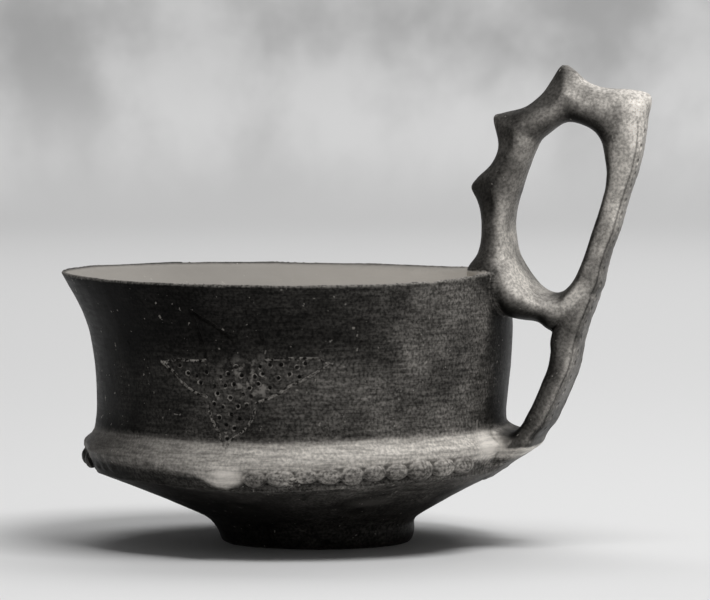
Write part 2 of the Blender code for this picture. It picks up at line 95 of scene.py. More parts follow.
# Clay thickness
WALL = 4.4 * MM
LIP = 1.7 * MM
FLOOR = 5.6 * MM

# Where the inside turns from the wall down to the floor: shares of the rise from
# the ridge to the shoulder's top, and how many walls thick the clay is there
INNER_TURN_LEVELS = ((0.62, 1.25), (0.33, 1.58), (0.15, 1.72))

# The thrower's lean: how far each level's centre lies along X from the foot's
LEAN_NECK = -1.9 * MM
LEAN_WALL = -4.7 * MM
LEAN_RIM = -9.8 * MM

# Knobs on the ridge: the direction of each round the cup from the handle, and how
# far its middle lies over the ridge's, as a share of BEAD_HEIGHT
KNOBS = (
    (math.radians(-100), 0.08),
    (math.radians(180), 0.64),
    (math.radians(100), 0.08),
)
KNOB_WIDTH = 16.0 * MM
KNOB_DEPTH = 2.4 * MM
KNOB_TALL = 9.0 * MM

# The ground under the beads, as a share of BEAD_DEPTH out from the ridge, which is
# fuller along one worn stretch, and how far past the beads it reaches
BEAD_GROUND = -0.5
WORN_GROUND = 0.1
WORN_STRETCH = (math.radians(-155), math.radians(-95))
GROUND_REACH = 1.4

# The shoulder's curve from the ledge over the beads up to its top: shares of the
# height, and of the ledge's reach that is left there
SHOULDER_CURVE = ((0.0, 1.0), (0.22, 0.88), (0.45, 0.55), (0.79, 0.10))

# Handle
HANDLE_REACH = 44.5 * MM
HANDLE_RISE = 67.4 * MM
HANDLE_WIDTH = 20.0 * MM
BRIDGE_DROP = 13.6 * MM

# Incised star
STAR_DIRECTION = math.radians(-94)
STAR_HEIGHT = 57.5 * MM
STAR_REACH = 28.0 * MM
STROKE_STEPS = 12
STROKE_SWAY = 0.008
DOT_PITCH = 3.7 * MM
DOT_MARGIN = 1.3 * MM
DOT_SWAY = 0.18

# Rows of dots and lines down the handle's outer face: the dots' spacing and
# unevenness, and how far round the section from its middle each row and line lies
STRUT_DOT_PITCH = 4.6 * MM
STRUT_DOT_SWAY = 0.5 * MM
STRUT_DOTS_ASIDE = math.radians(16)
STRUT_LINE_ASIDE = math.radians(52)

# Fineness of the clay's mesh
GRAIN = 0.45 * MM
TURNING_COLUMNS = 360
PROFILE_STEP = 0.9 * MM
HANDLE_SIDES = 48
ROW_STEPS = 8
MOST_TRIANGLES = 190000

# Sections of the upper loop round its opening from the bridge: the opening's edge
# and the outer edge, as shares of the reach out from the wall and of the rise
# over the rim, then the width share, and the pinch of the outer edge to a horn.
LOOP_SECTIONS = (
    (0.355, -0.070, 0.225, -0.208, 1.30, 0.0),
    (0.285, -0.064, 0.125, -0.198, 1.45, 0.0),
    (0.215, -0.036, 0.030, -0.185, 1.65, 0.0),
    (0.155, 0.006, -0.050, -0.155, 1.80, 0.0),
    (0.105, 0.060, -0.180, -0.085, 1.75, 0.0),
    (0.070, 0.112, -0.290, 0.022, 1.50, 0.0),
    (0.052, 0.165, -0.210, 0.118, 1.22, 0.0),
    (0.042, 0.250, -0.188, 0.215, 1.08, 0.0),
    (0.052, 0.312, -0.200, 0.311, 1.00, 0.1),
    (0.070, 0.368, -0.228, 0.366, 0.98, 0.3),
    (0.094, 0.415, -0.272, 0.424, 0.95, 0.7),
    (0.116, 0.462, -0.225, 0.470, 0.92, 0.3),
    (0.145, 0.518, -0.130, 0.527, 0.90, 0.0),
    (0.172, 0.565, -0.078, 0.592, 0.88, 0.0),
    (0.200, 0.606, -0.076, 0.646, 0.86, 0.2),
    (0.232, 0.643, -0.110, 0.752, 0.86, 0.5),
    (0.272, 0.668, -0.040, 0.775, 0.86, 0.3),
    (0.326, 0.696, 0.125, 0.806, 0.84, 0.0),
    (0.376, 0.719, 0.248, 0.872, 0.82, 0.2),
    (0.410, 0.728, 0.313, 0.935, 0.82, 0.4),
    (0.442, 0.731, 0.383, 1.000, 0.82, 0.6),
    (0.478, 0.729, 0.460, 0.984, 0.82, 0.5),
    (0.522, 0.722, 0.562, 0.926, 0.82, 0.2),
    (0.570, 0.710, 0.690, 0.896, 0.84, 0.0),
    (0.615, 0.692, 0.870, 0.888, 0.84, 0.1),
    (0.652, 0.665, 1.020, 0.858, 0.80, 0.3),
    (0.680, 0.628, 1.003, 0.755, 0.74, 0.1),
    (0.703, 0.568, 0.965, 0.610, 0.68, 0.0),
    (0.714, 0.504, 0.925, 0.504, 0.66, 0.0),
    (0.706, 0.432, 0.888, 0.434, 0.66, 0.0),
    (0.682, 0.371, 0.856, 0.367, 0.66, 0.0),
    (0.650, 0.295, 0.824, 0.292, 0.68, 0.0),
    (0.616, 0.230, 0.796, 0.226, 0.72, 0.0),
    (0.578, 0.146, 0.744, 0.138, 0.78, 0.0),
    (0.534, 0.062, 0.706, 0.056, 0.84, 0.0),
    (0.485, -0.006, 0.640, -0.080, 0.92, 0.0),
    (0.425, -0.050, 0.365, -0.245, 1.15, 0.0),
)
OUTER_STRUT_ROWS = (26, 35)

# How square the handle's sections are, where 2 is an ellipse
ROUND_SQUARENESS = 2.4
FLAT_SQUARENESS = 4.0

# Sections of the lower strap down to the ridge: the levels of its inner and
# outer faces, their gaps from the wall as shares of the reach, and the width.
STRAP_SECTIONS = (
    (1.330, 1.330, 0.560, 0.640, 0.60),
    (1.215, 1.200, 0.505, 0.652, 0.84),
    (1.090, 1.085, 0.430, 0.612, 0.93),
    (0.975, 0.985, 0.350, 0.572, 0.98),
    (0.868, 0.872, 0.318, 0.535, 1.00),
    (0.782, 0.784, 0.326, 0.521, 1.08),
    (0.674, 0.678, 0.318, 0.505, 1.20),
    (0.582, 0.578, 0.292, 0.476, 1.35),
    (0.436, 0.440, 0.245, 0.428, 1.45),
    (0.363, 0.361, 0.215, 0.396, 1.50),
    (0.285, 0.260, 0.170, 0.338, 1.55),
    (0.228, 0.150, 0.105, 0.196, 1.60),
    (0.240, 0.050, 0.040, 0.092, 1.60),
    (0.290, -0.050, -0.025, -0.040, 1.60),
    (0.340, -0.130, -0.060, -0.160, 1.50),
)
STRAP_FACE_ROWS = (3, 11)

# The star's strokes, across and up from its centre seen from outside, as shares
# of its reach.
DOTTED_RAYS = (
    ((-0.41, 0.15), (-0.70, 0.15), (-1.00, 0.12)),
    ((-1.00, 0.12), (-0.84, 0.02), (-0.72, -0.10), (-0.56, -0.20), (-0.41, -0.26)),
    ((-0.40, -0.34), (-0.35, -0.48), (-0.275, -0.635), (-0.17, -0.825)),
    ((-0.17, -0.825), (-0.10, -0.71), (0.035, -0.60), (0.125, -0.48), (0.16, -0.37)),
    ((0.17, -0.30), (0.385, -0.21), (0.55, -0.11), (0.76, 0.00), (1.00, 0.125)),
    ((1.00, 0.125), (0.835, 0.18), (0.63, 0.20), (0.425, 0.18), (0.25, 0.165)),
)
PLAIN_RAYS = (
    ((-0.445, 0.71), (-0.425, 0.47), (-0.41, 0.20)),
    ((-0.415, 0.69), (-0.205, 0.53), (-0.05, 0.37)),
    ((-0.05, 0.37), (0.12, 0.61), (0.22, 0.75)),
    ((0.25, 0.64), (0.275, 0.365), (0.29, 0.21)),
)

# Beads on the side that the star is on: where each starts and ends, in degrees
# round the cup from the handle, how tall it is, how far it stands out, and how far
# its middle lies over the ridge's in millimetres. The rest are spaced evenly.
SEEN_BEADS = (
    (-151.8, -146.0, 0.85, 0.35, 0.6), (-146.0, -141.0, 0.85, 0.35, 0.8),
    (-141.0, -135.5, 0.80, 0.40, 0.9), (-135.5, -131.5, 0.80, 0.35, 1.1),
    (-131.5, -128.0, 0.75, 0.35, 1.3), (-128.0, -123.5, 0.75, 0.40, 1.3),
    (-123.5, -117.8, 0.75, 0.45, 1.2), (-117.8, -113.5, 0.70, 0.40, 0.9),
    (-92.8, -86.8, 0.76, 0.85, 0.0), (-86.8, -79.2, 0.78, 1.00, 0.2),
    (-79.2, -73.2, 0.60, 0.75, 0.4), (-73.2, -67.2, 0.70, 0.80, 0.0),
    (-67.2, -61.3, 0.88, 0.95, -0.3), (-61.3, -55.0, 0.74, 0.90, -0.2),
    (-55.0, -48.8, 0.74, 0.95, -0.3), (-48.8, -41.0, 0.96, 1.10, -0.4),
    (-41.0, -33.8, 0.84, 1.00, -0.2), (-33.8, -25.8, 0.76, 0.80, 0.0),
)
EVEN_BEAD = 6.2
FIRST_EVEN_BEAD = 22.0
KNOB_CLEARANCE = 8

# How the evenly spaced beads vary, as shares, and all beads' overlap with the next
EVEN_LENGTHS = (0.88, 1.12)
EVEN_HEIGHTS = (0.72, 0.95)
EVEN_BOLDNESS = (0.7, 1.0)
EVEN_RISES = (-0.5, 0.5)
BEAD_OVERLAPS = (1.04, 1.14)
BEAD_LIFT = 0.5
BEAD_NUMBERS = ("turn", "half", "tall", "bold")
BEAD_SEAT = 0.9 * MM
BEAD_OUT = 2.9 * MM
BEAD_TALL = 3.5 * MM

# The seam round the strap's foot, and the chips on the lip, in millimetres
JOINT_PLACES = (
    (57.2, -23.0, 41.0), (57.0, -24.0, 37.0), (58.2, -27.1, 33.5), (60.8, -24.2, 30.2),
    (62.7, -18.3, 30.3), (66.3, -15.0, 34.2),
)
CHIP_PLACES = ((-81.6, -9.0, 86.3), (-80.4, -16.0, 86.0), (47.0, -44.5, 87.0))

# Each kind of mark: cut along edges or at points, then its width, depth, the burr
# beside it and how ragged it is in millimetres, and the fineness of the raggedness
MARKS = {
    "pale_cut": ("EDGES", 1.3, 0.55, 0.07, 0.25, 900.0),
    "dark_cut": ("EDGES", 1.3, 0.75, 0.05, 0.20, 900.0),
    "dot": ("POINTS", 1.9, 0.75, 0.10, 0.30, 700.0),
    "edge_line": ("EDGES", 1.5, 0.30, 0.0, 0.30, 300.0),
    "punch": ("POINTS", 1.9, 0.60, 0.08, 0.50, 500.0),
    "joint": ("EDGES", 1.0, 0.12, 0.05, 0.30, 400.0),
    "chip": ("POINTS", 5.0, 1.00, 0.0, 1.50, 300.0),
}
KEPT_FINE = ("pale_cut", "dark_cut", "dot", "punch", "joint")

# The unevenness of handwork
HAND_WORK = {
    "Waviness": 0.7 * MM, "Wave Scale": 45.0, "Dents": 0.22 * MM, "Dent Scale": 240.0,
    "Edge Height": 0.35 * MM,
}

# Where the clay's parts begin and are full, in millimetres: depth under the outer
# face, or height once the ridge's ride is taken off
INNER_FACE = (1.2, 2.0)
LEDGE_BOTTOM = (27.3, 28.5)
LEDGE_TOP = (38.0, 36.2)
LEDGE_DROP_AT_KNOB = 3.7
KNOB_PLACE = (-98.0, 4.5)
BEAD_ROW_BOTTOM = (21.5, 23.0)
BEAD_ROW_TOP = (30.5, 29.0)
RIDGE_SIDE = (62.0, 64.0)
HANDLE_FACE = (0.8, 2.4)
HANDLE_BOTTOM = 31.0
HANDLE_OVER_RIM = (2.8, 3.8)
HANDLE_SIDE = 45.0

# Tones of the clay, as shares of white
WALL_TONES = (0.013, 0.031)
# The inside is pale clay; its paler side towards the handle is painted light that lifts the handle's shade
INSIDE_TONES = (0.33, 0.62)
STRAP_TONES = (0.08, 0.32)
ARCH_TONES = (0.18, 0.56)
# The ledge: worn clay with a painted sheen
LEDGE_WEAR_AND_SHEEN_TONE = 0.70
# The knob's top: worn clay with a painted highlight
KNOB_WEAR_AND_HIGHLIGHT_TONE = 0.85
UNDERSIDE_TONE = 0.07
ROOT_TONE = 0.9
DUST_TONE = 0.55
TINTS = (1.06, 1.0, 0.92)

# Worn and dusty spots, and the knob's worn top with a painted highlight: the middle, then the reach across
# and up, in millimetres
KNOB_WEAR_AND_HIGHLIGHT_SPOT = ((-13, -69, 26), 7.0, 4.0)
UNDERSIDE_SPOT = ((28, -43, 16), 11.0, 3.0)
ROOT_SPOT = ((60.5, -21.5, 34.0), 9.0, 6.0)
DUST_SPOT = ((-6, -67, 56), 14.0, 10.0)
FLAKE_SPOT = ((7, -68, 26), 8.0, 4.5)

# The table: flat out to an edge, then a sweep that climbs as a power of its run
TABLE_RINGS = (0.3, 1.0, 1.8, 2.4)
SWEEP_STEP = 0.1
SWEEP_STEPS = 14
SWEEP_CLIMB = 0.35
SWEEP_POWER = 2.2
TABLE_SIDES = 96
TABLE_TONE = 0.73
BACKDROP_TONES = (0.62, 0.95)

# The camera, and the photo's size and the foot's place in it, in pixels
CAMERA_TURN = math.radians(12.0)
CAMERA_PITCH = math.radians(3.2)
CAMERA_AWAY = 1.6
IMAGE_WIDTH = 710
IMAGE_HEIGHT = 600
FOCAL_PIXELS = 5000.0
FOOT_AT = (316.0, 540.0)

# Lights: place, the point faced, width and depth in metres, and watts
LIGHTS = (
    ("high_window", (0.32, -0.22, 1.15), (0.0, 0.0, 0.05), (0.55, 0.55), 9.6),
    ("ceiling", (0.1, 1.6, 2.1), (0.1, 1.8, 0.0), (2.6, 1.8), 43.0),
)
ROOM_GLOW = 0.14


def mix(low, high, share):
    """The value a share of the way from low to high."""
    return low + (high - low) * share


def curve(t, low, leave, high, arrive):
    """A smooth step from low to high that leaves and arrives at the given slopes."""
    return (
        (2 * t ** 3 - 3 * t ** 2 + 1) * low
        + (t ** 3 - 2 * t ** 2 + t) * leave
        + (3 * t ** 2 - 2 * t ** 3) * high
        + (t ** 3 - t ** 2) * arrive
    )


def through(stations, z):
    """Smooth values at heights z through (height, value) stations."""
    heights = np.array([station[0] for station in stations])
    values = np.array([station[1] for station in stations])
    before = np.concatenate((heights[:1], heights[:-1]))
    after = np.concatenate((heights[1:], heights[-1:]))
    slopes = np.concatenate((values[1:], values[-1:])) - np.concatenate((values[:1], values[:-1]))
    slopes = slopes / (after - before)
    z = np.clip(np.asarray(z, float), heights[0], heights[-1])
    low = np.clip(np.searchsorted(heights, z, side="right") - 1, 0, len(heights) - 2)
    span = heights[low + 1] - heights[low]
    t = (z - heights[low]) / span
    return curve(t, values[low], span * slopes[low], values[low + 1], span * slopes[low + 1])


def away_from(turn, direction):
    """How far round the cup a direction is from another, either way."""
    return np.abs((turn - direction + math.pi) % (2 * math.pi) - math.pi)


def lean(z):
    """How far the cup's centre at height z lies along X."""
    return through(
        (
            (0.0, 0.0),
            (FOOT_HEIGHT / 2, 0.0),
            (FOOT_HEIGHT + NECK_RISE, LEAN_NECK),
            (RIDGE_HEIGHT, LEAN_WALL),
            (WALL_FLARE_HEIGHT, LEAN_WALL),
            (RIM_HEIGHT, LEAN_RIM),
        ),
        z,
    )


def wall_radius(z):
    """Outer radius from the top of the beaded band to the rim."""
    neck = WAIST_RADIUS + 0.2 * WALL_FLARE
    stations = []
    for rise, reach in SHOULDER_CURVE:
        height = mix(RIDGE_HEIGHT + BEAD_HEIGHT / 2, SHOULDER_TOP, rise)
        stations.append((height, mix(neck, RIDGE_RADIUS + SHOULDER_LEDGE, reach)))
    stations.append((SHOULDER_TOP, neck))
    stations.append((WAIST_HEIGHT, WAIST_RADIUS))
    stations.append((WALL_FLARE_HEIGHT, WAIST_RADIUS + WALL_FLARE))
    rise, reach = FLARE_MIDDLE
    middle = mix(WALL_FLARE_HEIGHT, RIM_HEIGHT, rise)
    stations.append((middle, mix(WAIST_RADIUS + WALL_FLARE, RIM_RADIUS, reach)))
    stations.append((RIM_HEIGHT, RIM_RADIUS))
    return through(stations, z)


def outer_radius(z):
    """Outer radius of the plain cup at height z."""
    z = np.asarray(z, float)
    neck = FOOT_HEIGHT + NECK_RISE
    bottom = RIDGE_HEIGHT - BEAD_HEIGHT / 2
    top = RIDGE_HEIGHT + BEAD_HEIGHT / 2
    share = (z - neck) / (bottom - neck)
    under = mix(NECK_RADIUS, RIDGE_RADIUS, share) - 4 * share * (1 - share) * UNDERSIDE_SAG
    rise = np.clip((z - FOOT_HEIGHT) / NECK_RISE, 0, 1)
    neck_radius = mix(FOOT_RADIUS + FOOT_FLARE, NECK_RADIUS, rise ** NECK_CURVE)
    foot = mix(FOOT_RADIUS, FOOT_RADIUS + FOOT_FLARE, z / FOOT_HEIGHT)
    band = mix(RIDGE_RADIUS, wall_radius(top), (z - bottom) / BEAD_HEIGHT)
    choices = [z >= top, z >= bottom, z >= neck, z >= FOOT_HEIGHT]
    return np.select(choices, [wall_radius(z), band, under, neck_radius], foot)


def ridge_shift(turn, z):
    """How far the ridge, set by hand, rides up or down at a direction."""
    neck = FOOT_HEIGHT + NECK_RISE
    rise = (z - neck) / (RIDGE_HEIGHT - BEAD_HEIGHT / 2 - neck)
    fall = (WAIST_HEIGHT - z) / (WAIST_HEIGHT - RIDGE_HEIGHT - BEAD_HEIGHT / 2)
    toward = RIDGE_RISE_AT_HANDLE * (0.5 + 0.5 * np.cos(turn))
    dip = RIDGE_DIP * np.exp(-(away_from(turn, RIDGE_DIP_DIRECTION) / RIDGE_DIP_SPREAD) ** 2)
    return np.clip(np.minimum(rise, fall), 0, 1) * (toward - dip)


def handle_wall_x(z):
    """Where the outer wall stands on the handle's side at height z."""
    return lean(z) + outer_radius(z - ridge_shift(0.0, z))


class Bench:
    """A node tree with short ways to lay and join its nodes."""

    def __init__(self, tree):
        self.tree = tree

    def add(self, kind, feeds=(), out=0, **settings):
        """Lay a node, feed its sockets by index or name, and give one output."""
        node = self.tree.nodes.new(kind)
        for name, value in settings.items():
            setattr(node, name, value)
        pairs = feeds.items() if isinstance(feeds, dict) else enumerate(feeds)
        for place, value in pairs:
            if value is None:
                continue
            if isinstance(value, bpy.types.NodeSocket):
                self.tree.links.new(value, node.inputs[place])
            else:
                node.inputs[place].default_value = value
        return node.outputs[out]

    def math(self, operation, *feeds, clamp=False):
        """One sum of plain numbers."""
        return self.add("ShaderNodeMath", feeds, operation=operation, use_clamp=clamp)

    def vector(self, operation, *feeds, out=0):
        """One sum of vectors."""
        return self.add("ShaderNodeVectorMath", feeds, out, operation=operation)

    def times(self, first, *others):
        """Everything multiplied together."""
        for other in others:
            first = self.math("MULTIPLY", first, other)
        return first

    def parts(self, vector):
        """A vector's X, Y and Z."""
        apart = self.tree.nodes.new("ShaderNodeSeparateXYZ")
        self.tree.links.new(vector, apart.inputs[0])
        return tuple(apart.outputs)

    def joined(self, *parts):
        """A vector from its X, Y and Z."""
        return self.add("ShaderNodeCombineXYZ", parts)

    def clouds(self, vector, scale, detail, roughness=0.5):
        """A cloudy pattern."""
        feeds = {"Vector": vector, "Scale": scale, "Detail": detail, "Roughness": roughness}
        return self.add("ShaderNodeTexNoise", feeds)

    def ramp(self, value, low, high, to_low=0.0, to_high=1.0):
        """Ease a value from one range into another, held at both ends."""
        feeds = {"Value": value, "From Min": low, "From Max": high}
        feeds.update({"To Min": to_low, "To Max": to_high})
        return self.add("ShaderNodeMapRange", feeds, interpolation_type="SMOOTHSTEP")


def geometry_tree(name, sizes):
    """A geometry tree with named inputs, and its group input and output nodes."""
    tree = bpy.data.node_groups.new(name, "GeometryNodeTree")
    tree.interface.new_socket("Clay", in_out="OUTPUT", socket_type="NodeSocketGeometry")
    tree.interface.new_socket("Clay", in_out="INPUT", socket_type="NodeSocketGeometry")
    for label, kind in sizes:
        tree.interface.new_socket(label, in_out="INPUT", socket_type="NodeSocket" + kind)
    bench = Bench(tree)
    given = tree.nodes.new("NodeGroupInput").outputs
    return bench, given


def end_tree(bench, shape, material):
    """Close a geometry tree with realized instances and the clay's material."""
    whole = bench.add("GeometryNodeRealizeInstances", [shape])
    dressed = bench.add("GeometryNodeSetMaterial", {"Geometry": whole, "Material": material})
    given_back = bench.tree.nodes.new("NodeGroupOutput")
    bench.tree.links.new(dressed, given_back.inputs[0])
    return bench.tree


def apply_tree(piece, steps):
    """Run geometry trees on an object in turn and keep the plain mesh."""
    for tree, values in steps:
        step = piece.modifiers.new(tree.name, "NODES")
        step.node_group = tree
        for item in tree.interface.items_tree:
            if item.in_out == "INPUT" and item.name in values:
                step[item.identifier] = values[item.name]
    keep_result(piece)


def keep_result(piece):
    """Replace an object's mesh by what its modifiers make of it."""
    graph = bpy.context.evaluated_depsgraph_get()
    made = bpy.data.meshes.new_from_object(piece.evaluated_get(graph))
    piece.modifiers.clear()
    old = piece.data
    piece.data = made
    made.name = piece.name
    bpy.data.meshes.remove(old)


def new_object(name, data):
    """An object in the scene for some data."""
    thing = bpy.data.objects.new(name, data)
    bpy.context.scene.collection.objects.link(thing)
    return thing


def new_piece(name, points, edges=(), faces=()):
    """An object at the origin from plain lists of points, edges and faces."""
    data = bpy.data.meshes.new(name)
    data.from_pydata([tuple(point) for point in points], list(edges), list(faces))
    return new_object(name, data)


def new_material(name, kind_of_bench):
    """A material, a bench for its nodes, and its shader's inputs."""
    material = bpy.data.materials.new(name)
    material.use_nodes = True
    inputs = material.node_tree.nodes["Principled BSDF"].inputs
    return material, kind_of_bench(material.node_tree), inputs


def ring_faces(sides, low, high):
    """Faces between two rings of points, from the first point of each."""
    for side in range(sides):
        following = (side + 1) % sides
        yield (low + side, low + following, high + following, high + side)


def give_numbers(piece, name, values):
    """Write one number for each of the object's points."""
    layer = piece.data.attributes.new(name, "FLOAT", "POINT")
    layer.data.foreach_set("value", np.asarray(values, np.float32))


def get_points(piece):
    """The object's points as an array."""
    places = np.empty(len(piece.data.vertices) * 3)
    piece.data.vertices.foreach_get("co", places)
    return places.reshape(-1, 3)


def set_points(piece, places):
    """Put the object's points where the array says."""
    piece.data.vertices.foreach_set("co", places.reshape(-1).astype(np.float32))
    piece.data.update()


def remove_piece(piece):
    """Throw away a helper object."""
    data = piece.data
    bpy.data.objects.remove(piece)
    bpy.data.meshes.remove(data)


def bowl_profile():
    """The turned profile as (radius, height) from under the foot to the floor."""
    corners = [(0.0, 0.0), (FOOT_RADIUS - FOOT_EDGE, 0.0), (FOOT_RADIUS, FOOT_EDGE)]
    heights = np.arange(FOOT_EDGE, RIM_HEIGHT, PROFILE_STEP)[1:]
    outside = [(float(outer_radius(z)), z) for z in heights]
    outside.append((RIM_RADIUS, RIM_HEIGHT))
    crown = [(RIM_RADIUS - LIP / 2, RIM_HEIGHT + LIP / 3)]
    stations = []
    for z in np.linspace(RIM_HEIGHT - 0.5 * MM, SHOULDER_TOP, 44):
        share = (z - SHOULDER_TOP) / (RIM_HEIGHT - SHOULDER_TOP)
        wall = mix(WALL, LIP, max(0.0, 4 * share - 3))
        stations.append((float(outer_radius(z)) - wall, z))
    for share, walls in INNER_TURN_LEVELS:
        z = mix(RIDGE_HEIGHT, SHOULDER_TOP, share)
        stations.append((float(outer_radius(z)) - walls * WALL, z))
    neck = FOOT_HEIGHT + NECK_RISE
    for share in (0.78, 0.50, 0.22):
        z = mix(neck, RIDGE_HEIGHT - BEAD_HEIGHT / 2, share)
        stations.append((float(outer_radius(z)) - 0.15 * WALL, z + 1.1 * FLOOR))
    floor = FOOT_HEIGHT + FLOOR
    stations.append((0.78 * NECK_RADIUS, floor + 0.9 * NECK_RISE))
    stations.append((0.42 * NECK_RADIUS, floor))
    stations.append((0.0, floor))
    inside = spaced(smooth_rows(np.array(stations), 6, False), PROFILE_STEP)
    foot = spaced(np.array(corners), PROFILE_STEP)
    return np.concatenate((foot, outside, crown, inside))


def smooth_rows(rows, steps, closed):
    """More rows between the given ones, on smooth curves through them."""
    rows = np.asarray(rows, float)
    count = len(rows)
    out = []
    for place in range(count if closed else count - 1):
        at = np.arange(place - 1, place + 3)
        before, low, high, after = rows[at % count if closed else np.clip(at, 0, count - 1)]
        for step in range(steps):
            out.append(curve(step / steps, low, (high - before) / 2, high, (after - low) / 2))
    if not closed:
        out.append(rows[-1])
    return np.array(out)


def spaced(points, step):
    """The same line with its points a step apart."""
    points = np.asarray(points, float)
    runs = np.linalg.norm(np.diff(points, axis=0), axis=1)
    along = np.concatenate(([0.0], np.cumsum(runs)))
    count = max(2, int(round(along[-1] / step)) + 1)
    at = np.linspace(0.0, along[-1], count)
    return np.stack([np.interp(at, along, points[:, axis]) for axis in range(points.shape[1])], 1)


def turning_tree(material):
    """Turns a profile, given as a line of points, into a closed shell."""
    bench, given = geometry_tree("turned_bowl", (("Columns", "Int"), ("Levels", "Int")))
    grid = bench.add(
        "GeometryNodeMeshGrid",
        {"Size X": 1.0, "Size Y": 1.0, "Vertices X": given["Columns"], "Vertices Y": given["Levels"]},
    )
    place = bench.add("GeometryNodeInputPosition")
    column, row, flat = bench.parts(place)
    turn = bench.times(bench.math("ADD", column, 0.5), 2 * math.pi)
    last = bench.math("SUBTRACT", given["Levels"], 1.0)
    level = bench.math("ROUND", bench.times(bench.math("ADD", row, 0.5), last))
    sample = {"Geometry": given["Clay"], "Value": place, "Index": level}
    profile = bench.add("GeometryNodeSampleIndex", sample, data_type="FLOAT_VECTOR")
    radius, shift, height = bench.parts(profile)
    across = bench.math("ADD", bench.times(radius, bench.math("COSINE", turn)), shift)
    away = bench.times(radius, bench.math("SINE", turn))
    spot = bench.joined(across, away, height)
    shell = bench.add("GeometryNodeSetPosition", {"Geometry": grid, "Position": spot})
    shut = bench.add("GeometryNodeMergeByDistance", {"Geometry": shell, "Distance": 0.002 * MM})
    return end_tree(bench, shut, material)


def turn_bowl(material):
    """The bowl and foot, turned, then pulled at the rim and pinched to knobs."""
    profile = bowl_profile()
    shifts = lean(profile[:, 1])
    points = np.stack((profile[:, 0], shifts, profile[:, 1]), 1)
    bowl = new_piece("bowl", points)
    apply_tree(bowl, [(turning_tree(material), {"Columns": TURNING_COLUMNS + 1, "Levels": len(points)})])
    face_out(bowl)
    places = get_points(bowl)
    x, y, z = places.T
    turn = np.arctan2(y, x - lean(z))
    fade = np.clip((z - WALL_FLARE_HEIGHT) / (RIM_HEIGHT - WALL_FLARE_HEIGHT), 0, 1)
    toward = (0.5 + 0.5 * np.cos(turn)) ** HANDLE_LIFT_FOCUS
    away = (0.5 - 0.5 * np.cos(turn)) ** OPPOSITE_LIFT_FOCUS
    lift = fade * (RIM_LIFT_AT_HANDLE * toward + RIM_LIFT_OPPOSITE * away)
    radius = np.hypot(y, x - lean(z))
    outside = radius > outer_radius(z) - 0.4 * WALL
    height = (z - RIDGE_HEIGHT) / (BEAD_HEIGHT / 2)
    worn = (turn > WORN_STRETCH[0]) & (turn < WORN_STRETCH[1])
    ground = np.where(worn, WORN_GROUND, BEAD_GROUND)
    swell = np.sqrt(np.clip(1 - (height / GROUND_REACH) ** 2, 0, 1)) * ground * BEAD_DEPTH
    for direction, rise in KNOBS:
        knob_level = np.minimum(1.0, np.abs(z - RIDGE_HEIGHT - rise * BEAD_HEIGHT) / (0.6 * KNOB_TALL))
        knob = (0.5 + 0.5 * np.cos(math.pi * knob_level)) * KNOB_DEPTH
        across = np.minimum(1.0, away_from(turn, direction) * RIDGE_RADIUS / (0.65 * KNOB_WIDTH))
        share = 0.5 + 0.5 * np.cos(math.pi * across)
        filled = np.sqrt(np.clip(1 - height ** 2, 0, 1)) * 0.7 * BEAD_DEPTH
        swell = mix(swell, np.maximum(swell, filled), share) + knob * share
    radius = radius + np.where(outside, swell, 0.0)
    places[:, 0] = lean(z) + radius * np.cos(turn)
    places[:, 1] = radius * np.sin(turn)
    places[:, 2] = z + lift + np.where(outside, ridge_shift(turn, z), 0.0)
    set_points(bowl, places)
    return bowl


def face_out(piece):
    """Turn a closed mesh's faces outwards."""
    mesh = bmesh.new()
    mesh.from_mesh(piece.data)
    bmesh.ops.recalc_face_normals(mesh, faces=mesh.faces[:])
    mesh.to_mesh(piece.data)
    mesh.free()


def section_ring(inner, outer, width, pinch, squareness, turns):
    """Points of a rounded section across the handle's plane."""
    centre = (inner + outer) / 2
    reach = (outer - inner) / 2
    along = np.sign(np.cos(turns)) * np.abs(np.cos(turns)) ** (2 / squareness)
    across = np.sign(np.sin(turns)) * np.abs(np.sin(turns)) ** (2 / squareness)
    narrow = 1 - pinch * np.maximum(0.0, along)
    ring = centre + reach * along[:, None]
    ring[:, 1] += across * narrow * width / 2
    return ring


def loop_rows():
    """The upper loop's sections, made finer, with each one's squareness."""
    rows = smooth_rows(LOOP_SECTIONS, ROW_STEPS, True)
    place = np.arange(len(rows)) / ROW_STEPS
    first, last = OUTER_STRUT_ROWS
    flat = np.clip(place - first, 0, 1) * np.clip(last + 1 - place, 0, 1)
    anchor = float(handle_wall_x(RIM_HEIGHT - BRIDGE_DROP))
    sections = []
    for (hole_x, hole_z, out_x, out_z, wide, pinch), share in zip(rows, flat):
        inner = np.array((anchor + hole_x * HANDLE_REACH, 0, RIM_HEIGHT + hole_z * HANDLE_RISE))
        outer = np.array((anchor + out_x * HANDLE_REACH, 0, RIM_HEIGHT + out_z * HANDLE_RISE))
        squareness = mix(ROUND_SQUARENESS, FLAT_SQUARENESS, share)
        sections.append((inner, outer, wide * HANDLE_WIDTH, max(0.0, pinch), squareness))
    return sections


def strap_rows():
    """The lower strap's sections, made finer."""
    low = RIDGE_HEIGHT
    high = RIM_HEIGHT - BRIDGE_DROP
    sections = []
    for inner_level, outer_level, inner_gap, outer_gap, wide in smooth_rows(STRAP_SECTIONS, ROW_STEPS, False):
        inner_z = mix(low, high, inner_level)
        outer_z = mix(low, high, outer_level)
        inner_wall = float(handle_wall_x(min(inner_z, high)))
        outer_wall = float(handle_wall_x(min(max(outer_z, low), high)))
        inner = np.array((inner_wall + inner_gap * HANDLE_REACH, 0, inner_z))
        outer = np.array((outer_wall + outer_gap * HANDLE_REACH, 0, outer_z))
        sections.append((inner, outer, wide * HANDLE_WIDTH, 0.0, FLAT_SQUARENESS))
    return sections


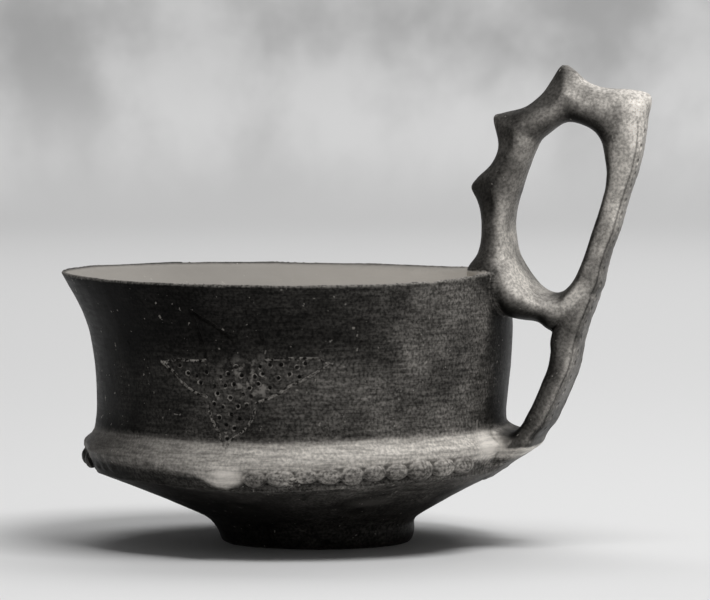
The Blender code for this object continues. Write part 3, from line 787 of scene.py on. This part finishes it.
def draw_out(name, sections, closed):
    """A solid strap of clay through a run of sections."""
    turns = 2 * math.pi * np.arange(HANDLE_SIDES) / HANDLE_SIDES
    rings = [section_ring(*section, turns) for section in sections]
    points = np.concatenate(rings)
    faces = []
    count = len(rings)
    for ring in range(count if closed else count - 1):
        faces.extend(ring_faces(HANDLE_SIDES, ring * HANDLE_SIDES, (ring + 1) % count * HANDLE_SIDES))
    if not closed:
        faces.append(tuple(range(HANDLE_SIDES))[::-1])
        faces.append(tuple((count - 1) * HANDLE_SIDES + side for side in range(HANDLE_SIDES)))
    piece = new_piece(name, points, faces=faces)
    face_out(piece)
    return piece


def bead_tree(material):
    """Sets one rounded bead of clay on each point of the ridge."""
    bench, given = geometry_tree("bead_row", (("Out", "Float"), ("Tall", "Float")))
    ball = bench.add("GeometryNodeMeshIcoSphere", {"Radius": 1.0, "Subdivisions": 4})
    turn, half, tall, bold = (
        bench.add("GeometryNodeInputNamedAttribute", {"Name": name}) for name in BEAD_NUMBERS
    )
    spin = bench.joined(0.0, 0.0, turn)
    size = bench.joined(bench.times(given["Out"], bold), half, bench.times(given["Tall"], tall))
    feeds = {"Points": given["Clay"], "Instance": ball, "Rotation": spin, "Scale": size}
    return end_tree(bench, bench.add("GeometryNodeInstanceOnPoints", feeds), material)


def bead_rows():
    """Each bead's direction, half length, height, boldness and place on the ridge."""
    rng = np.random.default_rng(11)
    rows = list(SEEN_BEADS)
    knobs = [math.degrees(direction) % 360 for direction, rise in KNOBS]
    start = FIRST_EVEN_BEAD
    while start < 360 + SEEN_BEADS[0][0] - EVEN_BEAD:
        end = start + EVEN_BEAD * rng.uniform(*EVEN_LENGTHS)
        if min(abs((start + end) / 2 - knob) for knob in knobs) > KNOB_CLEARANCE:
            varied = [rng.uniform(*span) for span in (EVEN_HEIGHTS, EVEN_BOLDNESS, EVEN_RISES)]
            rows.append((start, end, *varied))
        start = end
    beads = []
    for start, end, tall, bold, rise in rows:
        half = math.radians(end - start) / 2 * RIDGE_RADIUS * rng.uniform(*BEAD_OVERLAPS)
        beads.append((math.radians((start + end) / 2), half, tall, bold, (rise + BEAD_LIFT) * MM))
    return beads


def set_beads(material):
    """The row of beads along the ridge, uneven as they were pinched by hand."""
    points = []
    for middle, half, tall, bold, rise in bead_rows():
        z = RIDGE_HEIGHT + rise
        z += float(ridge_shift(middle, z))
        radius = RIDGE_RADIUS + BEAD_SEAT
        points.append((float(lean(z)) + radius * math.cos(middle), radius * math.sin(middle), z))
    beads = new_piece("beads", points)
    for name, values in zip(BEAD_NUMBERS, zip(*bead_rows())):
        give_numbers(beads, name, values)
    apply_tree(beads, [(bead_tree(material), {"Out": BEAD_OUT, "Tall": BEAD_TALL})])
    return beads


def lute_together(pieces):
    """Join lumps of clay into one skin."""
    whole = pieces[0]
    with bpy.context.temp_override(active_object=whole, selected_editable_objects=pieces):
        bpy.ops.object.join()
    knead = whole.modifiers.new("one_skin", "REMESH")
    knead.mode = "VOXEL"
    knead.voxel_size = GRAIN
    knead.use_smooth_shade = True
    soften = whole.modifiers.new("soften", "SMOOTH")
    soften.factor = 0.5
    soften.iterations = 3
    keep_result(whole)
    return whole


def eased(value, start, full):
    """Grows from 0 to 1 as a value goes from a start to where it is full."""
    return np.clip((value - start) / (full - start), 0, 1)


def note_places(cup):
    """Mark the inner face, the beads, the gaps between them, the ledge over them and the handle."""
    x, y, z = get_points(cup).T
    radius = np.hypot(x - lean(z), y)
    turn = np.arctan2(y, x - lean(z))
    shift = ridge_shift(turn, z)
    depth = (outer_radius(z - shift) - radius) / MM
    level = (z - shift) / MM
    above_floor = (z > FOOT_HEIGHT + 0.8 * FLOOR) * (z < RIM_HEIGHT + 2.5 * MM)
    cover = np.zeros(len(x))
    for middle, half, tall, bold, rise in bead_rows():
        beside = away_from(turn, middle) * RIDGE_RADIUS / half
        apart = np.hypot(beside, (level * MM - RIDGE_HEIGHT - rise) / (BEAD_TALL * tall))
        cover = np.maximum(cover, eased(apart, 1.05, 0.65) * min(1.0, bold / 0.7))
    outside = eased(radius / MM, *RIDGE_SIDE)
    row = eased(level, *BEAD_ROW_BOTTOM) * eased(level, *BEAD_ROW_TOP)
    knob = np.exp(-((np.degrees(turn) - KNOB_PLACE[0]) / KNOB_PLACE[1]) ** 2)
    ledge = eased(level + LEDGE_DROP_AT_KNOB * knob, *LEDGE_BOTTOM) * eased(level, *LEDGE_TOP)
    proud = eased(-depth, *HANDLE_FACE) * (level > HANDLE_BOTTOM)
    proud = proud + eased((z - RIM_HEIGHT) / MM, *HANDLE_OVER_RIM)
    parts = {
        "inside": eased(depth, *INNER_FACE) * above_floor,
        "ledge": ledge * (1 - cover) * outside,
        "bead": cover * outside,
        "gap": row * (1 - cover) * outside,
        "handle": np.clip(proud, 0, 1) * (x > HANDLE_SIDE * MM),
    }
    for name, values in parts.items():
        give_numbers(cup, name, values)


def on_wall(across, up):
    """A point of the star on the wall."""
    z = STAR_HEIGHT + up * STAR_REACH
    turn = STAR_DIRECTION + across * STAR_REACH / WAIST_RADIUS
    radius = float(outer_radius(z - ridge_shift(turn, z)))
    return (float(lean(z)) + radius * math.cos(turn), radius * math.sin(turn), z)


def cut_lines(name, lines):
    """An object of plain edges along each line of points."""
    points, edges = [], []
    for line in lines:
        start = len(points)
        points.extend(line)
        edges.extend((start + step, start + step + 1) for step in range(len(line) - 1))
    return new_piece(name, points, edges=edges)


def star_lines(strokes):
    """The strokes as close-set points on the wall, with a hand's slight sway."""
    lines = []
    for number, stroke in enumerate(strokes):
        fine = smooth_rows(stroke, STROKE_STEPS, False)
        along = np.linspace(0, 1, len(fine))
        fine[:, 0] += STROKE_SWAY * np.sin(9 * along + number)
        fine[:, 1] += STROKE_SWAY * np.cos(11 * along + 2 * number)
        lines.append([on_wall(across, up) for across, up in fine])
    return lines


def edge_distance(point, start, end):
    """Distance from a point to a straight edge, in the star's own shares."""
    run = end - start
    share = min(1.0, max(0.0, (point - start).dot(run) / run.length_squared))
    return (point - start - run * share).length


def star_dots():
    """Punched dots in staggered rows over the dotted rays, clear of the strokes."""
    outline = []
    for stroke in DOTTED_RAYS:
        outline.extend(Vector(point) for point in stroke)
    edges = [(a, b) for a, b in zip(outline, outline[1:] + outline[:1]) if (a - b).length > 0]
    pitch = DOT_PITCH / STAR_REACH
    rows = int(2 / pitch)
    dots = []
    for row in range(-rows, rows + 1):
        for column in range(-rows, rows + 1):
            shift = 0.5 * (row % 2) + DOT_SWAY * math.sin(5.1 * row + 2.3 * column)
            sway = DOT_SWAY * math.sin(3.7 * column + 1.9 * row)
            dot = Vector(((column + shift) * pitch, (0.87 * row + sway) * pitch))
            crossings = sum(
                (a.y > dot.y) != (b.y > dot.y)
                and dot.x < a.x + (dot.y - a.y) * (b.x - a.x) / (b.y - a.y)
                for a, b in edges
            )
            clear = min(edge_distance(dot, a, b) for a, b in edges)
            if crossings % 2 and clear > DOT_MARGIN / STAR_REACH:
                dots.append(on_wall(dot.x, dot.y))
    return dots


def strut_places(turn):
    """A line down the outer strut and strap, a turn round the section from the middle."""
    places = []
    for sections, (first, last) in ((loop_rows(), OUTER_STRUT_ROWS), (strap_rows(), STRAP_FACE_ROWS)):
        for section in sections[first * ROW_STEPS:last * ROW_STEPS]:
            places.append(section_ring(*section, np.array([turn]))[0])
    return places


def laid_on(cup, points):
    """The points moved onto the clay's skin where it is nearest."""
    return [cup.closest_point_on_mesh(point)[1] for point in points]


def strut_dots():
    """Punched dots in two uneven rows down the outer face of the handle."""
    rng = np.random.default_rng(5)
    dots = []
    for side in (-1, 1):
        line = spaced(np.array(strut_places(side * STRUT_DOTS_ASIDE)), STRUT_DOT_PITCH)
        for place in line[1:-1]:
            dots.append(place + rng.uniform(-STRUT_DOT_SWAY, STRUT_DOT_SWAY, 3))
    return dots


def cutting_tree(name, material, element):
    """Presses the clay in near the points or edges of a marks object."""
    sizes = (
        ("Marks", "Object"), ("Width", "Float"), ("Depth", "Float"), ("Burr", "Float"),
        ("Ragged", "Float"), ("Grain", "Float"), ("Name", "String"),
    )
    bench, given = geometry_tree(name, sizes)
    marks = bench.add("GeometryNodeObjectInfo", {"Object": given["Marks"]}, out="Geometry")
    near = bench.add("GeometryNodeProximity", [marks], out="Distance", target_element=element)
    place = bench.add("GeometryNodeInputPosition")
    rough = bench.clouds(place, given["Grain"], 3.0)
    off = bench.times(bench.math("SUBTRACT", rough, 0.5), given["Ragged"])
    gap = bench.math("DIVIDE", bench.math("ADD", near, off), bench.times(given["Width"], 0.5))
    inside = bench.math("SUBTRACT", 1.0, gap, clamp=True)
    pressed = bench.times(bench.math("POWER", inside, 0.8), given["Depth"])
    beside = bench.math("ABSOLUTE", bench.math("SUBTRACT", gap, 1.35))
    ridge = bench.math("SUBTRACT", 1.0, bench.math("DIVIDE", beside, 0.6), clamp=True)
    move = bench.math("SUBTRACT", bench.times(ridge, given["Burr"]), pressed)
    normal = bench.add("GeometryNodeInputNormal")
    offset = bench.vector("SCALE", normal, None, None, move)
    shaped = bench.add("GeometryNodeSetPosition", {"Geometry": given["Clay"], "Offset": offset})
    feeds = {"Geometry": shaped, "Name": given["Name"], "Value": inside}
    return end_tree(bench, bench.add("GeometryNodeStoreNamedAttribute", feeds), material)


def working_tree(material):
    """Leaves the unevenness of handwork and notes which edges stand proud."""
    sizes = (
        ("Waviness", "Float"), ("Wave Scale", "Float"), ("Dents", "Float"), ("Dent Scale", "Float"),
        ("Edge Height", "Float"),
    )
    bench, given = geometry_tree("hand_worked", sizes)
    place = bench.add("GeometryNodeInputPosition")
    normal = bench.add("GeometryNodeInputNormal")
    feeds = {"Value": place, "Iterations": 14, "Weight": 1.0}
    blurred = bench.add("GeometryNodeBlurAttribute", feeds, data_type="FLOAT_VECTOR")
    proud = bench.vector("DOT_PRODUCT", bench.vector("SUBTRACT", place, blurred), normal, out="Value")
    edge = bench.math("DIVIDE", proud, given["Edge Height"])
    feeds = {"Geometry": given["Clay"], "Name": "edge", "Value": edge}
    noted = bench.add("GeometryNodeStoreNamedAttribute", feeds)
    wave = bench.clouds(place, given["Wave Scale"], 1.0)
    dent = bench.clouds(place, given["Dent Scale"], 2.0)
    slow = bench.times(bench.math("SUBTRACT", wave, 0.5), given["Waviness"])
    quick = bench.times(bench.math("SUBTRACT", dent, 0.5), given["Dents"])
    offset = bench.vector("SCALE", normal, None, None, bench.math("ADD", slow, quick))
    shaped = bench.add("GeometryNodeSetPosition", {"Geometry": noted, "Offset": offset})
    return end_tree(bench, shaped, material)


def work_surface(cup, material):
    """Cut the star, the punched dots and the handle's marks into the clay."""
    apply_tree(cup, [(working_tree(material), HAND_WORK)])
    bpy.context.view_layer.update()

    def cut(lines):
        return cut_lines("cut", [laid_on(cup, line) for line in lines])

    seam = smooth_rows(np.array(JOINT_PLACES) * MM, 6, False)
    marks = {
        "pale_cut": cut(star_lines(DOTTED_RAYS)),
        "dark_cut": cut(star_lines(PLAIN_RAYS)),
        "dot": new_piece("dots", laid_on(cup, star_dots())),
        "edge_line": cut([strut_places(-STRUT_LINE_ASIDE), strut_places(STRUT_LINE_ASIDE)]),
        "punch": new_piece("punches", laid_on(cup, strut_dots())),
        "joint": cut([seam]),
        "chip": new_piece("chips", np.array(CHIP_PLACES) * MM),
    }
    trees = {kind: cutting_tree("cut_" + kind.lower(), material, kind) for kind in ("EDGES", "POINTS")}
    steps = []
    for name, helper in marks.items():
        kind, width, depth, burr, ragged, grain = MARKS[name]
        steps.append((trees[kind], {
            "Marks": helper, "Width": width * MM, "Depth": depth * MM, "Burr": burr * MM,
            "Ragged": ragged * MM, "Grain": grain, "Name": name,
        }))
    apply_tree(cup, steps)
    for helper in marks.values():
        remove_piece(helper)


def thin_out(cup):
    """Merge needless triangles, but none in the marks, and stay inside the CAD's box."""
    triangles = sum(len(face.vertices) - 2 for face in cup.data.polygons)
    cut = np.zeros(len(cup.data.vertices))
    for name in KEPT_FINE:
        depth = np.empty(len(cut), np.float32)
        cup.data.attributes[name].data.foreach_get("value", depth)
        cut = np.maximum(cut, depth)
    marks = cup.vertex_groups.new(name="marks")
    marks.add([int(place) for place in np.flatnonzero(cut > 0.01)], 1.0, "REPLACE")
    thin = cup.modifiers.new("thin_out", "DECIMATE")
    thin.ratio = min(1.0, MOST_TRIANGLES / triangles)
    thin.vertex_group = marks.name
    thin.invert_vertex_group = True
    keep_result(cup)
    low, high = (np.array(corner) for corner in cad_box)
    set_points(cup, np.clip(get_points(cup), low + 0.01 * MM * np.array((1, 1, 0)), high - 0.01 * MM))
    cup.data.shade_smooth()


class ClayShader(Bench):
    """A bench with the clay's patterns and ways to mix its tones."""

    def __init__(self, tree):
        super().__init__(tree)
        self.place = self.add("ShaderNodeTexCoord", out="Object")
        self.x, self.y, self.z = self.parts(self.place)
        self.face = self.parts(self.add("ShaderNodeTexCoord", out="Normal"))
        self.mottle = self.noise(70.0, 4.0)
        self.patch = self.noise(28.0, 3.0)
        self.grain = self.noise(1100.0, 3.0)
        turn = self.math("ARCTAN2", self.y, self.math("ADD", self.x, 5 * MM))
        round_it = self.joined(self.times(turn, 7.0), 0.0, self.times(self.z, 900.0))
        self.streak = self.clouds(round_it, 1.0, 4.0, 0.6)
        share = self.ramp(self.streak, 0.3, 0.65, 0.5, 1.0)
        self.broken = self.times(share, self.ramp(self.patch, 0.25, 0.55, 0.7, 1.0))

    def noise(self, scale, detail):
        """A cloudy pattern all through the clay."""
        return self.clouds(self.place, scale, detail, 0.55)

    def seen(self, name):
        """A mark or part that the clay's mesh carries."""
        return self.add("ShaderNodeAttribute", out="Fac", attribute_name=name)

    def most(self, first, *others):
        """The greatest of all."""
        for other in others:
            first = self.math("MAXIMUM", first, other)
        return first

    def blend(self, share, low, high):
        """One tone laid over another by a share."""
        return self.add("ShaderNodeMix", {"Factor": share, "A": low, "B": high})

    def vary(self, pattern, low, high):
        """A value that follows a pattern from its dark to its light parts."""
        return self.ramp(pattern, 0.3, 0.7, low, high)

    def fade(self, mask, share):
        """1 away from a mask, and a share of it where the mask is full."""
        return self.ramp(mask, 0.0, 1.0, 1.0, share)

    def spot(self, middle, wide, tall):
        """A soft round spot, in millimetres."""
        off = self.vector("SUBTRACT", self.place, tuple(value * MM for value in middle))
        off = self.vector("MULTIPLY", off, (1 / (wide * MM), 1 / (wide * MM), 1 / (tall * MM)))
        return self.ramp(self.vector("LENGTH", off, out="Value"), 1.0, 0.25)


def bowl_tone(clay):
    """Painted shade under the lip, behind the handle and towards the underside; painted light towards the
    handle and on the beads; the ledge and knob worn bare with a painted sheen.
    """
    ramp, times, vary, fade, seen = clay.ramp, clay.times, clay.vary, clay.fade, clay.seen
    x, y, z = clay.x, clay.y, clay.z
    # Painted shade: the wall darker under the flaring lip, on the side away from the handle
    shade_under_lip = times(ramp(z, 50 * MM, 72 * MM), ramp(x, 50 * MM, 20 * MM))
    # Painted shade on the wall that faces the handle, where the handle shades it
    handle_shade = times(ramp(clay.face[0], 0.93, 0.985), ramp(z, 34 * MM, 42 * MM))
    # Painted light: the wall paler towards the handle's side, where the light falls
    lit_toward_handle = ramp(x, -75 * MM, 45 * MM, 0.12, 4.4)
    # Painted shade: darker towards the underside, below the ridge
    shade_below_ridge = ramp(z, 12 * MM, 30 * MM, 0.3, 1.0)
    tone = times(vary(clay.mottle, *WALL_TONES), vary(clay.streak, 0.55, 1.45))
    tone = times(tone, lit_toward_handle, shade_below_ridge, vary(clay.grain, 0.4, 1.6))
    # The beads made paler: painted light where they stand out from the wall
    tone = times(tone, fade(shade_under_lip, 0.28), fade(handle_shade, 0.25), fade(seen("bead"), 2.5), fade(seen("gap"), 1.1))
    # The ledge worn bare with a painted sheen, paler towards the light on the right
    ledge = times(seen("ledge"), ramp(x, -70 * MM, 5 * MM, 0.22, 1.0), clay.broken)
    tone = clay.blend(ledge, tone, times(vary(clay.grain, 0.75, 1.25), LEDGE_WEAR_AND_SHEEN_TONE))
    # Painted highlight on the knob's worn top
    tone = clay.blend(times(clay.spot(*KNOB_WEAR_AND_HIGHLIGHT_SPOT), clay.broken), tone, KNOB_WEAR_AND_HIGHLIGHT_TONE)
    tone = clay.blend(times(clay.spot(*UNDERSIDE_SPOT), clay.broken), tone, UNDERSIDE_TONE)
    # Pale inside, with painted light towards the handle where the handle shades it
    return clay.blend(seen("inside"), tone, ramp(x, -60 * MM, 45 * MM, *INSIDE_TONES))


def handle_tone(clay):
    """Dark strap and paler arch, with painted light on the faces turned to the right and on the arch's top,
    and painted shade on the faces turned in, down or straight up.
    """
    ramp, times, vary = clay.ramp, clay.times, clay.vary
    # How far each face turns to the right and the outer face lies out, for painted light and shade
    turned = clay.math("ADD", clay.face[0], ramp(clay.x, 78 * MM, 92 * MM, 0.0, 0.38))
    strap = times(vary(clay.mottle, *STRAP_TONES), vary(clay.grain, 0.65, 1.35))
    arch = times(ramp(clay.mottle, 0.32, 0.68, *ARCH_TONES), vary(clay.grain, 0.65, 1.35))
    # Painted light on the arch's top, paler higher up
    arch = times(arch, ramp(clay.z, 112 * MM, 135 * MM, 1.0, 1.3))
    tone = clay.blend(ramp(clay.z, 60 * MM, 84 * MM), strap, arch)
    # Painted light and shade: paler turned right, darker turned in, much darker on the undersides
    tone = times(tone, ramp(turned, -0.3, 0.85, 0.15, 1.8), ramp(clay.face[2], -0.7, 0.3, 0.12, 1.0))
    # Painted shade on the faces turned straight up
    return times(tone, ramp(clay.face[2], 0.15, 0.8, 1.0, 0.55))


def pale_filling(clay):
    """Where the star's outline holds a pale filling."""
    kept = clay.ramp(clay.noise(800.0, 3.0), 0.42, 0.54)
    return clay.times(clay.ramp(clay.seen("pale_cut"), 0.1, 0.45), kept)


def pale_marks(clay, filled):
    """Fillings, dots' rims, dust, flakes, specks, worn edges, the seam and the chips."""
    ramp, times, seen, noise = clay.ramp, clay.times, clay.seen, clay.noise
    rims = times(ramp(seen("dot"), 0.01, 0.1), ramp(seen("dot"), 0.3, 0.12))
    rims = times(rims, ramp(noise(500.0, 3.0), 0.48, 0.60), 0.55)
    dust = times(clay.spot(*DUST_SPOT), ramp(noise(330.0, 4.0), 0.50, 0.64), 0.4)
    torn = clay.vector("MULTIPLY", clay.joined(clay.x, clay.z, clay.x), (260.0, 900.0, 420.0))
    torn = clay.clouds(torn, 1.0, 3.0, 0.55)
    flakes = times(clay.spot(*FLAKE_SPOT), ramp(torn, 0.53, 0.58), 0.8)
    punches = times(ramp(seen("punch"), 0.2, 0.6), 0.5)
    specks = times(ramp(noise(520.0, 2.0), 0.69, 0.74), 0.35)
    worn = times(ramp(seen("edge"), 0.35, 1.0), ramp(clay.grain, 0.4, 0.6, 0.3, 1.0), 0.35)
    bare = (times(seen("joint"), 0.6), times(seen("chip"), 0.8))
    return clay.most(filled, rims, dust, punches, flakes, specks, worn, *bare)


def shaded_cuts(clay, filled):
    """Painted shade in the unfilled strokes, the dots' middles and the handle's lines."""
    unfilled = clay.times(clay.math("SUBTRACT", 1.0, filled), clay.seen("pale_cut"))
    lines = clay.times(clay.seen("edge_line"), 0.45)
    return clay.most(clay.seen("dark_cut"), lines, unfilled, clay.ramp(clay.seen("dot"), 0.15, 0.5))


def clay_material():
    """Burnished clay, mottled, streaked, specked and worn pale at its edges, with painted light and shade."""
    material, clay, inputs = new_material("burnished_clay", ClayShader)
    tone = clay.blend(clay.seen("handle"), bowl_tone(clay), handle_tone(clay))
    tone = clay.blend(clay.times(clay.spot(*ROOT_SPOT), clay.broken), tone, ROOT_TONE)
    # Darker in the hollows: painted shade, with some dirt in them
    tone = clay.times(tone, clay.ramp(clay.seen("edge"), -0.15, -1.0, 1.0, 0.3))
    filled = pale_filling(clay)
    pale = pale_marks(clay, filled)
    tone = clay.blend(pale, tone, DUST_TONE)
    # Painted shade in the cuts
    tone = clay.times(tone, clay.ramp(shaded_cuts(clay, filled), 0.05, 0.4, 1.0, 0.2))
    tints = [clay.times(tone, tint) for tint in TINTS]
    dull = clay.math("ADD", clay.times(clay.streak, 0.5), clay.times(clay.patch, 0.5))
    rough = clay.math("ADD", clay.ramp(dull, 0.35, 0.65, 0.34, 0.48), clay.times(pale, 0.2))
    relief = clay.math("ADD", clay.times(clay.streak, 0.6), clay.times(clay.grain, 0.4))
    bump = clay.add("ShaderNodeBump", {"Height": relief, "Strength": 0.5, "Distance": 0.12 * MM})
    join = material.node_tree.links.new
    join(clay.add("ShaderNodeCombineColor", tints), inputs["Base Color"])
    join(rough, inputs["Roughness"])
    join(bump, inputs["Normal"])
    inputs["Specular IOR Level"].default_value = 0.03
    return material


def table_material():
    """Pale matt paper, even on the table and faintly clouded on the backdrop."""
    material, bench, inputs = new_material("pale_paper", Bench)
    place = bench.add("ShaderNodeTexCoord", out="Object")
    level = bench.vector("MULTIPLY", place, (1.0, 1.0, 0.0))
    round_it = bench.vector("MULTIPLY", bench.vector("NORMALIZE", level), (3.2, 3.2, 0.0))
    upright = bench.vector("ADD", round_it, bench.vector("MULTIPLY", place, (0.0, 0.0, 1.0)))
    cloud = bench.clouds(upright, 7.0, 4.0)
    away = bench.ramp(bench.vector("LENGTH", place, out="Value"), 2.5, 3.1)
    # Painted light and shade: the backdrop lighter low down and darker higher up
    dusk = bench.ramp(bench.parts(place)[2], 0.02, 0.15, 0.12, -0.10)
    far = bench.math("ADD", bench.ramp(cloud, 0.32, 0.68, *BACKDROP_TONES), dusk)
    tone = bench.add("ShaderNodeMix", {"Factor": away, "A": TABLE_TONE, "B": far})
    colour = bench.add("ShaderNodeCombineColor", [tone, tone, tone])
    material.node_tree.links.new(colour, inputs["Base Color"])
    inputs["Roughness"].default_value = 0.9
    return material


def lay_table():
    """A pale round table that sweeps up into a low backdrop on every side."""
    rows = [(reach, 0.0) for reach in TABLE_RINGS]
    for step in range(1, SWEEP_STEPS + 1):
        out = SWEEP_STEP * step
        rows.append((TABLE_RINGS[-1] + out, SWEEP_CLIMB * out ** SWEEP_POWER))
    points = [(0, 0, 0)]
    for radius, height in rows:
        for side in range(TABLE_SIDES):
            turn = 2 * math.pi * side / TABLE_SIDES
            points.append((radius * math.cos(turn), radius * math.sin(turn), height))
    faces = [(0, 1 + side, 1 + (side + 1) % TABLE_SIDES) for side in range(TABLE_SIDES)]
    for row in range(len(rows) - 1):
        low = 1 + row * TABLE_SIDES
        for face in ring_faces(TABLE_SIDES, low, low + TABLE_SIDES):
            faces.append(face[::-1])
    table = new_piece("table", points, faces=faces)
    table.data.shade_smooth()
    table.data.materials.append(table_material())
    return table


def place_camera():
    """The camera, a little above the cup and turned slightly towards its handle."""
    data = bpy.data.cameras.new("camera")
    data.sensor_width = 36.0
    data.lens = FOCAL_PIXELS * data.sensor_width / IMAGE_WIDTH
    camera = new_object("camera", data)
    right = Vector((math.cos(CAMERA_TURN), math.sin(CAMERA_TURN), 0))
    back = Vector((math.sin(CAMERA_TURN), -math.cos(CAMERA_TURN), 0))
    aside = (IMAGE_WIDTH / 2 - FOOT_AT[0]) / FOCAL_PIXELS
    below = math.atan((FOOT_AT[1] - IMAGE_HEIGHT / 2) / FOCAL_PIXELS)
    place = (back + right * aside) * CAMERA_AWAY
    place.z = CAMERA_AWAY * math.tan(CAMERA_PITCH + below)
    ahead = -back * math.cos(CAMERA_PITCH) - Vector((0, 0, math.sin(CAMERA_PITCH)))
    pose = Matrix((right, right.cross(ahead), -ahead)).transposed().to_4x4()
    pose.translation = place
    camera.matrix_world = pose
    data.clip_start = 0.01
    data.clip_end = 50.0
    bpy.context.scene.camera = camera


def add_light(name, place, aim, size, power):
    """A soft window of light at a place, facing a point."""
    data = bpy.data.lights.new(name, "AREA")
    data.shape = "RECTANGLE"
    data.size, data.size_y = size
    data.energy = power
    light = new_object(name, data)
    light.location = place
    light.rotation_euler = (Vector(place) - Vector(aim)).to_track_quat("Z", "Y").to_euler()


def light_room():
    """A soft window high on the right and a pale ceiling behind, in a dim room."""
    for light in LIGHTS:
        add_light(*light)
    world = bpy.data.worlds.new("room")
    world.use_nodes = True
    ground = world.node_tree.nodes["Background"]
    ground.inputs["Color"].default_value = (1.0, 1.0, 1.0, 1.0)
    ground.inputs["Strength"].default_value = ROOM_GLOW
    bpy.context.scene.world = world
    bpy.context.scene.view_settings.view_transform = "Standard"


place_camera()
table = lay_table()
light_room()
clay = clay_material()
lumps = [
    turn_bowl(clay),
    draw_out("loop", loop_rows(), True),
    draw_out("strap", strap_rows(), False),
    set_beads(clay),
]
cup = lute_together(lumps)
note_places(cup)
work_surface(cup, clay)
thin_out(cup)
cup.name = "clay_cup"
cup.data.name = "clay_cup"
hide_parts("handled_cup")
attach(cup, "root")
